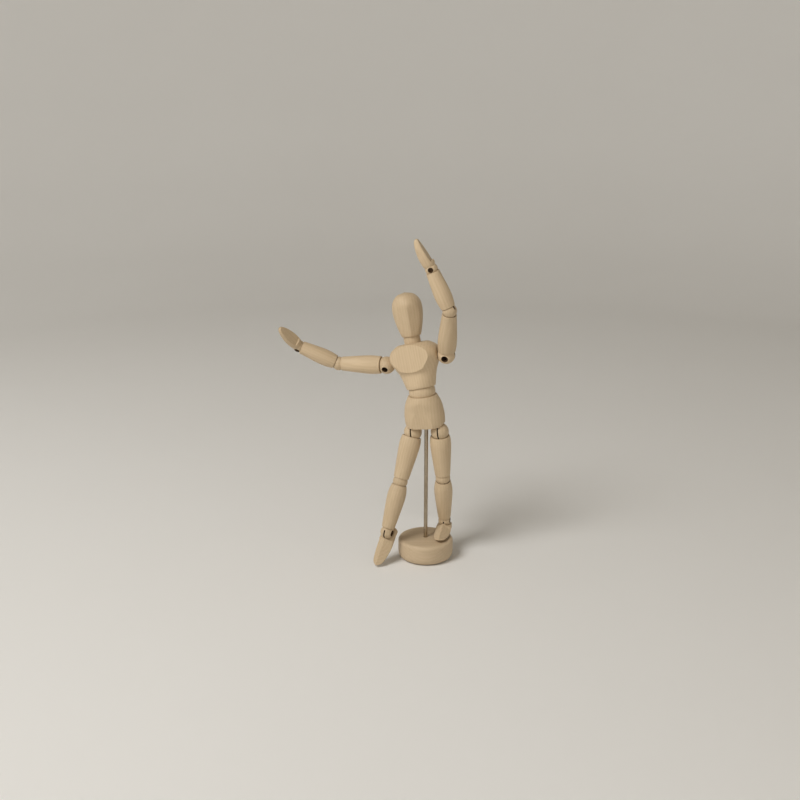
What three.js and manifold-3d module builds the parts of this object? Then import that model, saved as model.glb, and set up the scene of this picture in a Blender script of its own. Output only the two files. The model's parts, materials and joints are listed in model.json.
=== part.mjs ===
// Wooden artist mannequin on a round stand, in millimetres, +Z up.
// The origin is the centre of the stand's underside. The figure faces -Y and its left side is towards +X.
// Every joint group holds the angle of the reaching pose, so the figure stands as photographed.
import * as THREE from 'three';
import { mergeVertices } from 'three/addons/utils/BufferGeometryUtils.js';
import Module from 'manifold-3d';

const wasm = await Module();
wasm.setup();

// Stand
const BASE_DIAMETER = 66;
const BASE_HEIGHT = 25;
const BASE_TOP_ROUND = 4;
const BASE_FOOT_ROUND = 5;
const ROD_DIAMETER = 4.5;
const ROD_IN_BASE = 18;
const ROD_IN_PELVIS = 14;

// Distances between joint centres
const HIP_SPACING = 33;
const WAIST_RISE = 49.5;
const SHOULDER_RISE = 36.8;
const NECK_RISE = 61.5;
const UPPER_ARM_LENGTH = 59.5;
const FOREARM_LENGTH = 51.5;
const THIGH_LENGTH = 61;
const SHIN_LENGTH = 62.5;

// Ball radii
const WAIST_BALL = 15.5;
const NECK_BALL = 10.7;
const SHOULDER_BALL = 10.3;
const ELBOW_BALL = 8.2;
const WRIST_BALL = 7.2;
const HIP_BALL = 10.6;
const KNEE_BALL = 8.8;
const ANKLE_BALL = 7.8;

// Distance from a ball's centre to the rim of the piece that sits on it
const WAIST_RIM_DROP = 4.5;
const NECK_RIM_DROP = 4.5;
const HEAD_RIM_DROP = 4.2;
const SHOULDER_RIM_DROP = 6.7;
const ELBOW_RIM_DROP = 4.6;
const WRIST_RIM_DROP = 3.6;
const PELVIS_RIM_DROP = 7;
const HIP_RIM_DROP = 5.6;
const KNEE_RIM_DROP = 4.4;
const ANKLE_RIM_DROP = 5.2;

// Trunk
const PELVIS_WIDTH = 48;
const PELVIS_DEPTH = 36;
const PELVIS_FACET_HEIGHT = 20;
const PELVIS_FACET_CUT = 3.2;
const PELVIS_CHAMFER = 4.5;
const CHEST_WIDTH = 61;
const CHEST_DEPTH = 40;
const ABDOMEN_RATIO = 0.8;
const SHOULDER_FLAT_CUT = 1.5;
const SHOULDER_SEAT_DEPTH = 1.3;
const NECK_BARREL_DIAMETER = 19.2;
const HEAD_TOP = 55;
const HEAD_WIDTH = 35.2;
const HEAD_DEPTH = 38.7;
const FACE_RIDGE_HEIGHT = 40;
const FACE_RIDGE_REACH = 18.9;
const CHIN_HEIGHT = 7;
const CHIN_REACH = 13;
const FACE_ANGLE = 23;

// Widest radius of each limb and its distance below the limb's upper joint
const UPPER_ARM_BELLY = 10.9;
const UPPER_ARM_BELLY_AT = 22;
const FOREARM_BELLY = 9.7;
const FOREARM_BELLY_AT = 20;
const THIGH_BELLY = 12.4;
const THIGH_BELLY_AT = 18;
const SHIN_BELLY = 10.4;
const SHIN_BELLY_AT = 16;

// Hands and feet
const HAND_LENGTH = 37.3;
const HAND_BELLY = 7.6;
const PALM_LEDGE = 8.5;
const PALM_ROOT = 4.2;
const PALM_TIP = 1.9;
const ANKLE_HEIGHT = 12;
const TOE_REACH = 41;
const HEEL_REACH = 10.5;
const FOOT_WIDTH = 18;
const FOOT_SEAT_DROP = 5.2;
const HEEL_SLOPE = 0.8;
const INSTEP_DROP = 2;
const TOE_TOP_DROP = 8;
const TOE_SPRING = 1.6;
const SOLE_FLAT_SHARE = 0.72;
const FOOT_ROOF_ANGLE = 20;

// Outlines, as pairs of shares: height from the lower end and radius of the greatest one
const PELVIS_FOOT_SHARE = 0.94;
const PELVIS_OVAL_SHARE = 0.45;
const PELVIS_OUTLINE = [[0.13, 0.99], [0.4, 1], [0.72, 0.91]];
const CHEST_TOP_SHARE = 0.6;
const BIB_FOOT_SHARE = 0.34;
const BIB_EDGE_SHARE = 0.46;
const CHEST_OUTLINE = [[0.24, 0.675], [0.44, 0.8], [0.59, 0.94], [0.69, 1], [0.8, 0.97], [0.9, 0.86]];
const HEAD_OUTLINE = [
  [0.1, 0.73],
  [0.25, 0.85],
  [0.43, 0.955],
  [0.59, 1],
  [0.73, 0.97],
  [0.83, 0.865],
  [0.905, 0.7],
  [0.96, 0.475],
];
const HAND_OUTLINE = [
  [0.09, 0.82],
  [0.18, 0.96],
  [0.43, 1],
  [0.69, 0.83],
  [0.83, 0.645],
  [0.92, 0.46],
  [0.98, 0.24],
];

// Half plan of the foot: share of the half width, then share of the reach to the heel (+) or the toe (-)
const FOOT_PLAN = [[0, 1], [0.76, 0.7], [0.92, 0], [1, -0.55], [0.72, -0.88], [0, -1]];

// Joinery
const CLEARANCE = 0.3;
const SOCKET_WALL = 0.8;
const THICK_SOCKET_WALL = 1.6;
const SPRING_BORE = 3;
const WIRE_RADIUS = 0.5;
const BEAD_RADIUS = 1.1;
const CROSS_HOLE = 3.3;
const SHOULDER_HOLE = 3.6;
const WRIST_HOLE = 3;
const SLOT_WIDTH = 1.6;
const COIL_SETBACK = 1.5;
const WAIST_COIL = 7;
const SPINE_COIL = 12;
const NECK_COIL = 6;
const HEAD_COIL = 16;
const HIP_COIL = 18;
const SLOT_MARGIN = 14;

// Height of the left sole over the stand, so that the leg can swing
const FOOT_HOVER = 2.6;

// Reaching pose, in degrees about each joint's own axis
const POSE = {
  figureTurn: -17,
  pelvisRoll: -6.3,
  waistTurn: -4.5,
  waistBend: -6.5,
  chestLean: -8,
  headTurn: 20,
  headNod: 3,
  headTilt: 2,
  left: {
    shoulderSwing: -154,
    armRaise: -22.5,
    elbowTurn: -70,
    elbowBend: -32,
    wristTurn: -28,
    wristBend: -5,
    hipSwing: 8.2,
    legRaise: 4.2,
    kneeTurn: 27,
    kneeBend: 7,
  },
  right: {
    shoulderSwing: 28.9,
    armRaise: 103.5,
    elbowTurn: 94.9,
    elbowBend: 28.9,
    wristTurn: 19,
    wristBend: 38.5,
    hipSwing: -15,
    legRaise: 16.5,
    kneeTurn: -1,
    kneeBend: -1.5,
    ankleTurn: -5.5,
    anklePitch: 67,
  },
};

// Angles that each wire slot has to let through, with raising counted outwards from the body
const BEND_SLOT = [-46, 46];
const WRIST_SLOT = [-46, 52];
const ARM_SLOT = [4, 132];
const HIP_SWING_SLOT = [-112, 40];
const LEG_RAISE_SLOT = [-14, 40];
const ANKLE_SLOT = [-92, 72];
const TRUNK_SLOT = [-16, 16];
const HEAD_SLOT = [-20, 20];

// Facets
const ROUND = 18;
const SMALL_ROUND = 8;
const WIRE_ROUND = 6;
const SOCKET_STEPS = 3;
const OUTLINE_STEPS = 5;
const EDGE_STEPS = 4;
const SLOT_STEPS = 5;
const PLAN_STEPS = 10;

const X = new THREE.Vector3(1, 0, 0);
const Y = new THREE.Vector3(0, 1, 0);
const Z = new THREE.Vector3(0, 0, 1);
const { degToRad, lerp, smoothstep } = THREE.MathUtils;
const point = (x, y, z) => new THREE.Vector3(x, y, z);

const WOOD = new THREE.MeshStandardMaterial({ color: 0xcbb083, roughness: 0.62, metalness: 0 });
const STEEL = new THREE.MeshStandardMaterial({ color: 0xb4b4b2, roughness: 0.35, metalness: 1 });

// Solids

function signedVolume(positions, triangles) {
  const corner = (i) => new THREE.Vector3().fromArray(positions, 3 * i);
  let volume = 0;
  for (let i = 0; i < triangles.length; i += 3) {
    const [a, b, c] = [corner(triangles[i]), corner(triangles[i + 1]), corner(triangles[i + 2])];
    volume += a.dot(b.cross(c)) / 6;
  }
  return volume;
}

function toSolid(geometry) {
  const bare = geometry.clone();
  bare.deleteAttribute('normal');
  bare.deleteAttribute('uv');
  const merged = mergeVertices(bare);
  const vertProperties = new Float32Array(merged.attributes.position.array);
  const corners = merged.index.array;
  const triangles = [];
  for (let i = 0; i < corners.length; i += 3) {
    const [a, b, c] = corners.subarray(i, i + 3);
    if (a !== b && b !== c && c !== a) triangles.push(a, b, c);
  }
  if (signedVolume(vertProperties, triangles) < 0) triangles.reverse();
  return new wasm.Manifold(
    new wasm.Mesh({ numProp: 3, vertProperties, triVerts: new Uint32Array(triangles) }),
  );
}

function toGeometry(solid) {
  const { vertProperties, triVerts } = solid.getMesh();
  const geometry = new THREE.BufferGeometry();
  geometry.setAttribute('position', new THREE.BufferAttribute(vertProperties, 3));
  geometry.setIndex(new THREE.BufferAttribute(triVerts, 1));
  return geometry;
}

function cut(geometry, tools) {
  const body = tools.reduce((rest, tool) => rest.subtract(toSolid(tool)), toSolid(geometry));
  return toGeometry(body);
}

function join(geometry, other) {
  return toGeometry(toSolid(geometry).add(toSolid(other)));
}

function keepInside(geometry, other) {
  return toGeometry(toSolid(geometry).intersect(toSolid(other)));
}

// Plain shapes

// A faceted hole needs this radius to clear a round of the given radius
const roundHole = (radius, sides) => radius / Math.cos(Math.PI / sides);

// A faceted hollow round a ball, with the running clearance between them
const hollow = (radius, sides = ROUND) => (radius + CLEARANCE) / Math.cos(Math.PI / sides) ** 2;

function turned(profile, sides = ROUND) {
  const points = profile.map(([radius, height]) => new THREE.Vector2(radius, height));
  return new THREE.LatheGeometry(points, sides).rotateX(Math.PI / 2);
}

function ball(radius, centre = point(0, 0, 0), sides = ROUND) {
  return new THREE.SphereGeometry(radius, sides, sides / 2).translate(...centre);
}

const socket = (radius, centre) => ball(hollow(radius), centre);

// A round bar from one point to another
function bar(radius, from, to, sides = SMALL_ROUND) {
  const along = to.clone().sub(from);
  const turn = new THREE.Quaternion().setFromUnitVectors(Y, along.clone().normalize());
  const middle = from.clone().lerp(to, 0.5);
  return new THREE.CylinderGeometry(radius, radius, along.length(), sides)
    .applyQuaternion(turn)
    .translate(...middle);
}

// Everything on the outer side of a plane
function beyond(at, normal) {
  const size = 8 * CHEST_WIDTH;
  const turn = new THREE.Quaternion().setFromUnitVectors(Z, normal.clone().normalize());
  return new THREE.BoxGeometry(size, size, size)
    .translate(0, 0, size / 2)
    .applyQuaternion(turn)
    .translate(...at);
}

// Two planes that fall away on both sides of a ridge
function besideRidge(from, to, outward, degrees) {
  const along = to.clone().sub(from).normalize();
  const across = along.clone().cross(outward).normalize();
  const normal = across.cross(along).normalize();
  return [-1, 1].map((side) => {
    const slope = normal.clone().applyAxisAngle(along, side * degToRad(degrees));
    return beyond(from, slope);
  });
}

// A fan-shaped slot for a wire that hinges about X or Y at the origin. The wire leaves along +Z (up 1)
// or -Z (up -1), and the angles are those of the piece that hinges.
function wireSlot(axis, up, [least, most], reach) {
  const fan = new THREE.Shape();
  fan.moveTo(0, 0);
  for (let step = 0; step <= SLOT_STEPS; step += 1) {
    const angle = degToRad(lerp(least - SLOT_MARGIN, most + SLOT_MARGIN, step / SLOT_STEPS));
    fan.lineTo(reach * Math.sin(angle), up * reach * Math.cos(angle));
  }
  const across = axis === X ? Y : X.clone().negate();
  const turn = new THREE.Matrix4().makeBasis(across, Z, axis);
  return new THREE.ExtrudeGeometry(fan, { depth: SLOT_WIDTH, bevelEnabled: false, steps: 1 })
    .translate(0, 0, -SLOT_WIDTH / 2)
    .applyMatrix4(turn);
}

// A round port for a wire that only turns, from the origin along the given direction
function wirePort(direction, reach) {
  const end = direction.clone().multiplyScalar(reach);
  return bar(roundHole(SLOT_WIDTH / 2, WIRE_ROUND), point(0, 0, 0), end, WIRE_ROUND);
}

const crossHole = (radius, axis, reach) =>
  bar(
    roundHole(radius, SMALL_ROUND),
    axis.clone().multiplyScalar(-reach),
    axis.clone().multiplyScalar(reach),
  );

const springBore = (from, to) => bar(roundHole(SPRING_BORE, SMALL_ROUND), from, to);

// Distance from a ball's centre to a bead that is hooked in a hole of the given radius
const beadSeat = (hole) => hole - BEAD_RADIUS - CLEARANCE;

// A closed hollow in the middle of a ball for the beads of two springs
const beadPocket = () =>
  ball(hollow(beadSeat(CROSS_HOLE) + BEAD_RADIUS, SMALL_ROUND), point(0, 0, 0), SMALL_ROUND);

// Wooden limbs

// One end of a limb: the ball it sits on, the rim's distance from the ball's centre, and the rim's wall
const limbEnd = (radius, drop, wall = SOCKET_WALL) => ({ radius, drop, wall });

const rimRadius = ({ radius, drop, wall }) => Math.sqrt(hollow(radius) ** 2 - drop ** 2) + wall;

// Section of a socket from the spring bore to the rim, with the limb below (-1) or above (1) the ball
function socketSection(end, height, side) {
  const radius = hollow(end.radius);
  const from = Math.asin(roundHole(SPRING_BORE, ROUND) / radius);
  const to = Math.acos(end.drop / radius);
  return Array.from({ length: SOCKET_STEPS + 1 }, (_, step) => {
    const angle = lerp(from, to, step / SOCKET_STEPS);
    return [radius * Math.sin(angle), height + side * radius * Math.cos(angle)];
  });
}

function limb(length, top, bottom, belly, bellyAt) {
  const upper = socketSection(top, 0, -1);
  const lower = socketSection(bottom, -length, 1).reverse();
  const outside = new THREE.SplineCurve([
    new THREE.Vector2(rimRadius(top), -top.drop),
    new THREE.Vector2(belly, -bellyAt),
    new THREE.Vector2(rimRadius(bottom), bottom.drop - length),
  ]);
  const skin = outside.getPoints(OUTLINE_STEPS).map(({ x, y }) => [x, y]);
  return turned([...upper, ...skin, ...lower, upper[0]].reverse());
}

// Springs, as plain bodies with a bead at each hooked end

const COIL_RADIUS = SPRING_BORE - CLEARANCE;

function bead(height) {
  const slant = BEAD_RADIUS * Math.SQRT1_2;
  return [
    [slant, height - slant],
    [BEAD_RADIUS, height],
    [slant, height + slant],
  ];
}

// Lower bead, coil and upper bead by height; a blind end has no bead
function spring(lowerBead, coilFrom, coilTo, upperBead) {
  const neck = [
    [WIRE_RADIUS, coilFrom],
    [COIL_RADIUS, coilFrom],
    [COIL_RADIUS, coilTo],
    [WIRE_RADIUS, coilTo],
  ];
  const profile = [];
  const hasLower = lowerBead !== null;
  const hasUpper = upperBead !== null;
  if (hasLower) {
    profile.push([0, lowerBead - BEAD_RADIUS], ...bead(lowerBead), [WIRE_RADIUS, lowerBead + BEAD_RADIUS]);
  } else {
    profile.push([0, coilFrom]);
  }
  profile.push(...neck.slice(hasLower ? 0 : 1, hasUpper ? 4 : 3));
  if (hasUpper) {
    profile.push([WIRE_RADIUS, upperBead - BEAD_RADIUS], ...bead(upperBead), [0, upperBead + BEAD_RADIUS]);
  } else {
    profile.push([0, coilTo]);
  }
  return turned(profile, WIRE_ROUND);
}

function limbSpring(length, topBall, topHole, bottomBall, bottomHole) {
  return spring(
    beadSeat(bottomHole) - length,
    bottomBall + COIL_SETBACK - length,
    -topBall - COIL_SETBACK,
    -beadSeat(topHole),
  );
}

// Turned body that changes from a round to an oval section

function oval(outline, ratioAt) {
  const geometry = turned(outline);
  const place = geometry.attributes.position;
  for (let i = 0; i < place.count; i += 1) {
    place.setY(i, place.getY(i) * ratioAt(place.getZ(i)));
  }
  return geometry;
}

// Share of the greatest width, from the lower end (0) to the upper end (1), as a smooth outline
function outlineBetween(low, high, halfWidth, lowRadius, highRadius, shares) {
  const inner = shares.map(([at, share]) => new THREE.Vector2(share * halfWidth, lerp(low, high, at)));
  const curve = new THREE.SplineCurve([
    new THREE.Vector2(lowRadius, low),
    ...inner,
    new THREE.Vector2(highRadius, high),
  ]);
  const skin = curve.getPoints(2 * OUTLINE_STEPS).map(({ x, y }) => [x, y]);
  return [[0, low], ...skin, [0, high]];
}

// Stand

const baseRadius = BASE_DIAMETER / 2;

function roundedEdge(radius, height, edge, fromDegrees) {
  return Array.from({ length: EDGE_STEPS + 1 }, (_, step) => {
    const angle = degToRad(fromDegrees + (90 * step) / EDGE_STEPS);
    return [radius - edge + edge * Math.cos(angle), height + edge * Math.sin(angle)];
  });
}

function baseGeometry() {
  const disc = turned(
    [
      [0, 0],
      ...roundedEdge(baseRadius, BASE_FOOT_ROUND, BASE_FOOT_ROUND, -90),
      ...roundedEdge(baseRadius, BASE_HEIGHT - BASE_TOP_ROUND, BASE_TOP_ROUND, 0),
      [0, BASE_HEIGHT],
    ],
    2 * ROUND,
  );
  const floor = BASE_HEIGHT - ROD_IN_BASE - CLEARANCE;
  return cut(disc, [rodHole(point(0, 0, floor), point(0, 0, BASE_HEIGHT + ROD_DIAMETER))]);
}

function rodHole(from, to) {
  return bar(roundHole(ROD_DIAMETER / 2 + CLEARANCE, SMALL_ROUND), from, to);
}

// Trunk

const hipX = HIP_SPACING / 2;
const chestFlat = CHEST_WIDTH / 2 - SHOULDER_FLAT_CUT;
const shoulderX = chestFlat + SHOULDER_BALL - SHOULDER_SEAT_DEPTH;
const waistFloor = WAIST_RISE - hollow(WAIST_BALL);

function pelvisGeometry(rodUp) {
  const low = PELVIS_RIM_DROP;
  const high = WAIST_RISE - WAIST_RIM_DROP;
  const half = PELVIS_WIDTH / 2;
  const rim = rimRadius(limbEnd(WAIST_BALL, WAIST_RIM_DROP, THICK_SOCKET_WALL));
  const outline = outlineBetween(low, high, half, PELVIS_FOOT_SHARE * half, rim, PELVIS_OUTLINE);
  const ratio = PELVIS_DEPTH / PELVIS_WIDTH;
  const block = oval(outline, (z) => {
    const rise = (z - low) / (high - low);
    return lerp(ratio, 1, smoothstep(rise, PELVIS_OVAL_SHARE, 1));
  });
  const facetFoot = point(0, PELVIS_FACET_CUT - PELVIS_DEPTH / 2, low);
  const facetNormal = point(0, -PELVIS_FACET_HEIGHT, -PELVIS_FACET_CUT);
  const waistSeat = point(0, 0, WAIST_RISE);
  const tools = [
    beyond(facetFoot, facetNormal),
    socket(WAIST_BALL, waistSeat),
    springBore(point(0, 0, waistFloor - WAIST_COIL - COIL_SETBACK - CLEARANCE), waistSeat),
    rodHole(
      rodUp.clone().multiplyScalar(-PELVIS_DEPTH),
      rodUp.clone().multiplyScalar(low / rodUp.z + ROD_IN_PELVIS + CLEARANCE),
    ),
  ];
  for (const side of [-1, 1]) {
    const hip = point(side * hipX, 0, 0);
    const boreTop = HIP_BALL + COIL_SETBACK + HIP_COIL + CLEARANCE;
    tools.push(
      beyond(point(side * (half - PELVIS_CHAMFER), 0, low), point(side, 0, -1)),
      socket(HIP_BALL, hip),
      springBore(hip, point(side * hipX, 0, boreTop)),
    );
  }
  return cut(block, tools);
}

function waistGeometry() {
  return cut(ball(WAIST_BALL), [
    beadPocket(),
    wireSlot(X, -1, TRUNK_SLOT.map((angle) => -angle).reverse(), 2 * WAIST_BALL),
    wireSlot(Y, 1, TRUNK_SLOT, 2 * WAIST_BALL),
  ]);
}

function chestGeometry() {
  const low = WAIST_RIM_DROP;
  const high = NECK_RISE - NECK_RIM_DROP;
  const half = CHEST_WIDTH / 2;
  const rim = rimRadius(limbEnd(WAIST_BALL, WAIST_RIM_DROP, THICK_SOCKET_WALL));
  const outline = outlineBetween(low, high, half, rim, CHEST_TOP_SHARE * half, CHEST_OUTLINE);
  const trunk = oval(outline, (z) => {
    const rise = (z - low) / (high - low);
    const abdomen = lerp(1, ABDOMEN_RATIO, smoothstep(rise, 0, BIB_FOOT_SHARE));
    return lerp(abdomen, 1, smoothstep(rise, BIB_FOOT_SHARE, BIB_EDGE_SHARE));
  });
  const neckSeat = point(0, 0, NECK_RISE);
  const neckFloor = NECK_RISE - hollow(NECK_BALL);
  const spineTop = WAIST_BALL + COIL_SETBACK + SPINE_COIL + CLEARANCE;
  const tools = [
    beyond(point(0, -CHEST_DEPTH / 2, 0), Y.clone().negate()),
    beyond(point(0, CHEST_DEPTH / 2, 0), Y),
    socket(WAIST_BALL),
    socket(NECK_BALL, neckSeat),
    springBore(point(0, 0, 0), point(0, 0, spineTop)),
    springBore(point(0, 0, neckFloor - COIL_SETBACK - NECK_COIL - CLEARANCE), neckSeat),
    springBore(point(-half, 0, SHOULDER_RISE), point(half, 0, SHOULDER_RISE)),
  ];
  for (const side of [-1, 1]) {
    tools.push(
      beyond(point(side * chestFlat, 0, 0), point(side, 0, 0)),
      socket(SHOULDER_BALL, point(side * shoulderX, 0, SHOULDER_RISE)),
    );
  }
  return cut(trunk, tools);
}

function neckGeometry() {
  const reach = 2 * NECK_BALL;
  const barrel = bar(NECK_BARREL_DIAMETER / 2, point(0, 0, -reach), point(0, 0, reach), ROUND);
  return cut(keepInside(ball(NECK_BALL), barrel), [
    beadPocket(),
    wireSlot(X, -1, HEAD_SLOT.map((angle) => -angle).reverse(), reach),
    wireSlot(Y, 1, HEAD_SLOT, reach),
  ]);
}

function headGeometry() {
  const half = HEAD_WIDTH / 2;
  const rim = rimRadius(limbEnd(NECK_BALL, HEAD_RIM_DROP));
  const outline = outlineBetween(HEAD_RIM_DROP, HEAD_TOP, half, rim, 0, HEAD_OUTLINE).slice(0, -1);
  const egg = oval(outline, () => HEAD_DEPTH / HEAD_WIDTH);
  const chin = point(0, -CHIN_REACH, CHIN_HEIGHT);
  const brow = point(0, -FACE_RIDGE_REACH, FACE_RIDGE_HEIGHT);
  const coilTop = NECK_BALL + COIL_SETBACK + HEAD_COIL + CLEARANCE;
  return cut(egg, [
    ...besideRidge(chin, brow, Y.clone().negate(), FACE_ANGLE),
    socket(NECK_BALL),
    springBore(point(0, 0, 0), point(0, 0, coilTop)),
  ]);
}

// Balls of the limbs, seen in the frame of the ball, with raising towards side

const outwards = (side, [least, most]) => (side < 0 ? [least, most] : [-most, -least]);

function shoulderBallGeometry(side) {
  const reach = 2 * SHOULDER_BALL;
  return cut(ball(SHOULDER_BALL), [
    crossHole(SHOULDER_HOLE, Y, reach),
    wirePort(point(-side, 0, 0), reach),
    wireSlot(Y, -1, outwards(side, ARM_SLOT), reach),
  ]);
}

function turnBallGeometry(radius, slot, core) {
  const reach = 2 * radius;
  return cut(ball(radius), [core, wirePort(Z, reach), wireSlot(X, -1, slot, reach)]);
}

function hipBallGeometry(side) {
  const reach = 2 * HIP_BALL;
  return cut(ball(HIP_BALL), [
    beadPocket(),
    wireSlot(X, 1, HIP_SWING_SLOT, reach),
    wireSlot(Y, -1, outwards(side, LEG_RAISE_SLOT), reach),
  ]);
}

// Hands and feet

// A flat outline pushed right through, first coordinate along one axis and second along Z
function throughCut(points, across, depth) {
  const shape = new THREE.Shape(points.map(([u, v]) => new THREE.Vector2(u, v)));
  const normal = across.clone().cross(Z);
  return new THREE.ExtrudeGeometry(shape, { depth, bevelEnabled: false, steps: 1 })
    .translate(0, 0, -depth / 2)
    .applyMatrix4(new THREE.Matrix4().makeBasis(across, Z, normal));
}

// The hand is turned like a bullet, with one flat for the palm that ends in a ledge below the wrist
function handGeometry() {
  const skin = HAND_OUTLINE.map(([at, share]) => new THREE.Vector2(share * HAND_BELLY, -at * HAND_LENGTH));
  const curve = new THREE.SplineCurve([...skin, new THREE.Vector2(0, -HAND_LENGTH)]);
  const outline = curve.getPoints(2 * OUTLINE_STEPS).map(({ x, y }) => [x, y]);
  const bullet = turned([[0, outline[0][1]], ...outline].reverse());
  const palm = throughCut(
    [
      [PALM_ROOT, -PALM_LEDGE],
      [2 * HAND_BELLY, -PALM_LEDGE],
      [2 * HAND_BELLY, -HAND_LENGTH],
      [PALM_TIP, -HAND_LENGTH],
    ],
    Y,
    4 * HAND_BELLY,
  );
  return cut(join(ball(WRIST_BALL), bullet), [
    palm,
    crossHole(WRIST_HOLE, X, 2 * WRIST_BALL),
    wireSlot(X, 1, WRIST_SLOT, 2 * WRIST_BALL),
  ]);
}

function footGeometry() {
  const half = FOOT_WIDTH / 2;
  const sole = -ANKLE_HEIGHT;
  const plan = new THREE.SplineCurve(
    FOOT_PLAN.map(([wide, along]) => {
      const reach = along > 0 ? HEEL_REACH : TOE_REACH;
      return new THREE.Vector2(wide * half, along * reach);
    }),
  );
  const outline = plan.getPoints(PLAN_STEPS).slice(1, -1);
  const left = outline.map(({ x, y }) => new THREE.Vector2(-x, y)).reverse();
  const shape = new THREE.Shape([
    new THREE.Vector2(0, HEEL_REACH),
    ...outline,
    new THREE.Vector2(0, -TOE_REACH),
    ...left,
  ]);
  const block = new THREE.ExtrudeGeometry(shape, { depth: ANKLE_HEIGHT, bevelEnabled: false, steps: 1 })
    .translate(0, 0, sole);
  const seat = Math.sqrt(hollow(ANKLE_BALL) ** 2 - FOOT_SEAT_DROP ** 2);
  const instep = -seat - SOCKET_WALL;
  const profile = throughCut(
    [
      [HEEL_REACH, sole],
      [HEEL_REACH, -FOOT_SEAT_DROP - HEEL_SLOPE],
      [seat - SOCKET_WALL, -FOOT_SEAT_DROP],
      [instep, -FOOT_SEAT_DROP],
      [instep - SOCKET_WALL, -INSTEP_DROP],
      [-TOE_REACH, -TOE_TOP_DROP],
      [-TOE_REACH, sole + TOE_SPRING],
      [-lerp(SOLE_FLAT_SHARE, 1, 0.5) * TOE_REACH, sole + TOE_SPRING / 3],
      [-SOLE_FLAT_SHARE * TOE_REACH, sole],
    ],
    Y,
    2 * FOOT_WIDTH,
  );
  const ridge = [point(0, instep - SOCKET_WALL, -INSTEP_DROP), point(0, -TOE_REACH, -TOE_TOP_DROP)];
  const neckTop = -ANKLE_BALL - COIL_SETBACK;
  return cut(keepInside(block, profile), [
    ...besideRidge(...ridge, Z, FOOT_ROOF_ANGLE),
    socket(ANKLE_BALL),
    wirePort(Z.clone().negate(), ANKLE_HEIGHT),
    springBore(point(0, 0, neckTop), point(0, 0, 2 * sole)),
  ]);
}

// Assembly

function joint(parent, name, axis, degrees, position = point(0, 0, 0)) {
  const group = new THREE.Group();
  group.name = name;
  group.position.copy(position);
  group.quaternion.setFromAxisAngle(axis, degToRad(degrees));
  parent.add(group);
  return group;
}

function piece(parent, name, geometry, material = WOOD) {
  const mesh = new THREE.Mesh(geometry, material);
  mesh.name = name;
  parent.add(mesh);
  return mesh;
}

const mannequin = new THREE.Group();
mannequin.name = 'wooden_mannequin';

const pelvisTurn = joint(mannequin, 'figure_turn', Z, POSE.figureTurn);
const pelvis = joint(pelvisTurn, 'pelvis_frame', Y, POSE.pelvisRoll);
const rodUp = Z.clone().applyAxisAngle(Y, -degToRad(POSE.pelvisRoll));
piece(pelvis, 'pelvis', pelvisGeometry(rodUp));

const waistTurn = joint(pelvis, 'waist_turn', Z, POSE.waistTurn, point(0, 0, WAIST_RISE));
const waist = joint(waistTurn, 'waist_bend', X, POSE.waistBend);
const chest = joint(waist, 'chest_lean', Y, POSE.chestLean);
const waistCoilTop = waistFloor - COIL_SETBACK - WAIST_RISE;
const waistSpring = spring(null, waistCoilTop - WAIST_COIL, waistCoilTop, -beadSeat(CROSS_HOLE));
piece(waistTurn, 'waist_spring', waistSpring, STEEL);
piece(waist, 'waist', waistGeometry());
piece(chest, 'chest', chestGeometry());
const spineCoilFoot = hollow(WAIST_BALL) + COIL_SETBACK;
const spineCoilTop = WAIST_BALL + COIL_SETBACK + SPINE_COIL;
piece(chest, 'spine_spring', spring(beadSeat(CROSS_HOLE), spineCoilFoot, spineCoilTop, null), STEEL);
const shoulderCoil = chestFlat - SHOULDER_SEAT_DEPTH - COIL_SETBACK;
const shoulderBead = shoulderX - beadSeat(SHOULDER_HOLE);
const shoulderSpring = spring(-shoulderBead, -shoulderCoil, shoulderCoil, shoulderBead)
  .rotateY(Math.PI / 2)
  .translate(0, 0, SHOULDER_RISE);
piece(chest, 'shoulder_spring', shoulderSpring, STEEL);

const headTurn = joint(chest, 'head_turn', Z, POSE.headTurn, point(0, 0, NECK_RISE));
const neck = joint(headTurn, 'head_nod', X, POSE.headNod);
const head = joint(neck, 'head_tilt', Y, POSE.headTilt);
const neckCoilTop = -hollow(NECK_BALL) - COIL_SETBACK;
const neckSpring = spring(null, neckCoilTop - NECK_COIL, neckCoilTop, -beadSeat(CROSS_HOLE));
piece(headTurn, 'neck_spring', neckSpring, STEEL);
piece(neck, 'neck', neckGeometry());
piece(head, 'head', headGeometry());
const headCoilFoot = hollow(NECK_BALL) + COIL_SETBACK;
const headCoilTop = NECK_BALL + COIL_SETBACK + HEAD_COIL;
piece(head, 'head_spring', spring(beadSeat(CROSS_HOLE), headCoilFoot, headCoilTop, null), STEEL);

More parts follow.
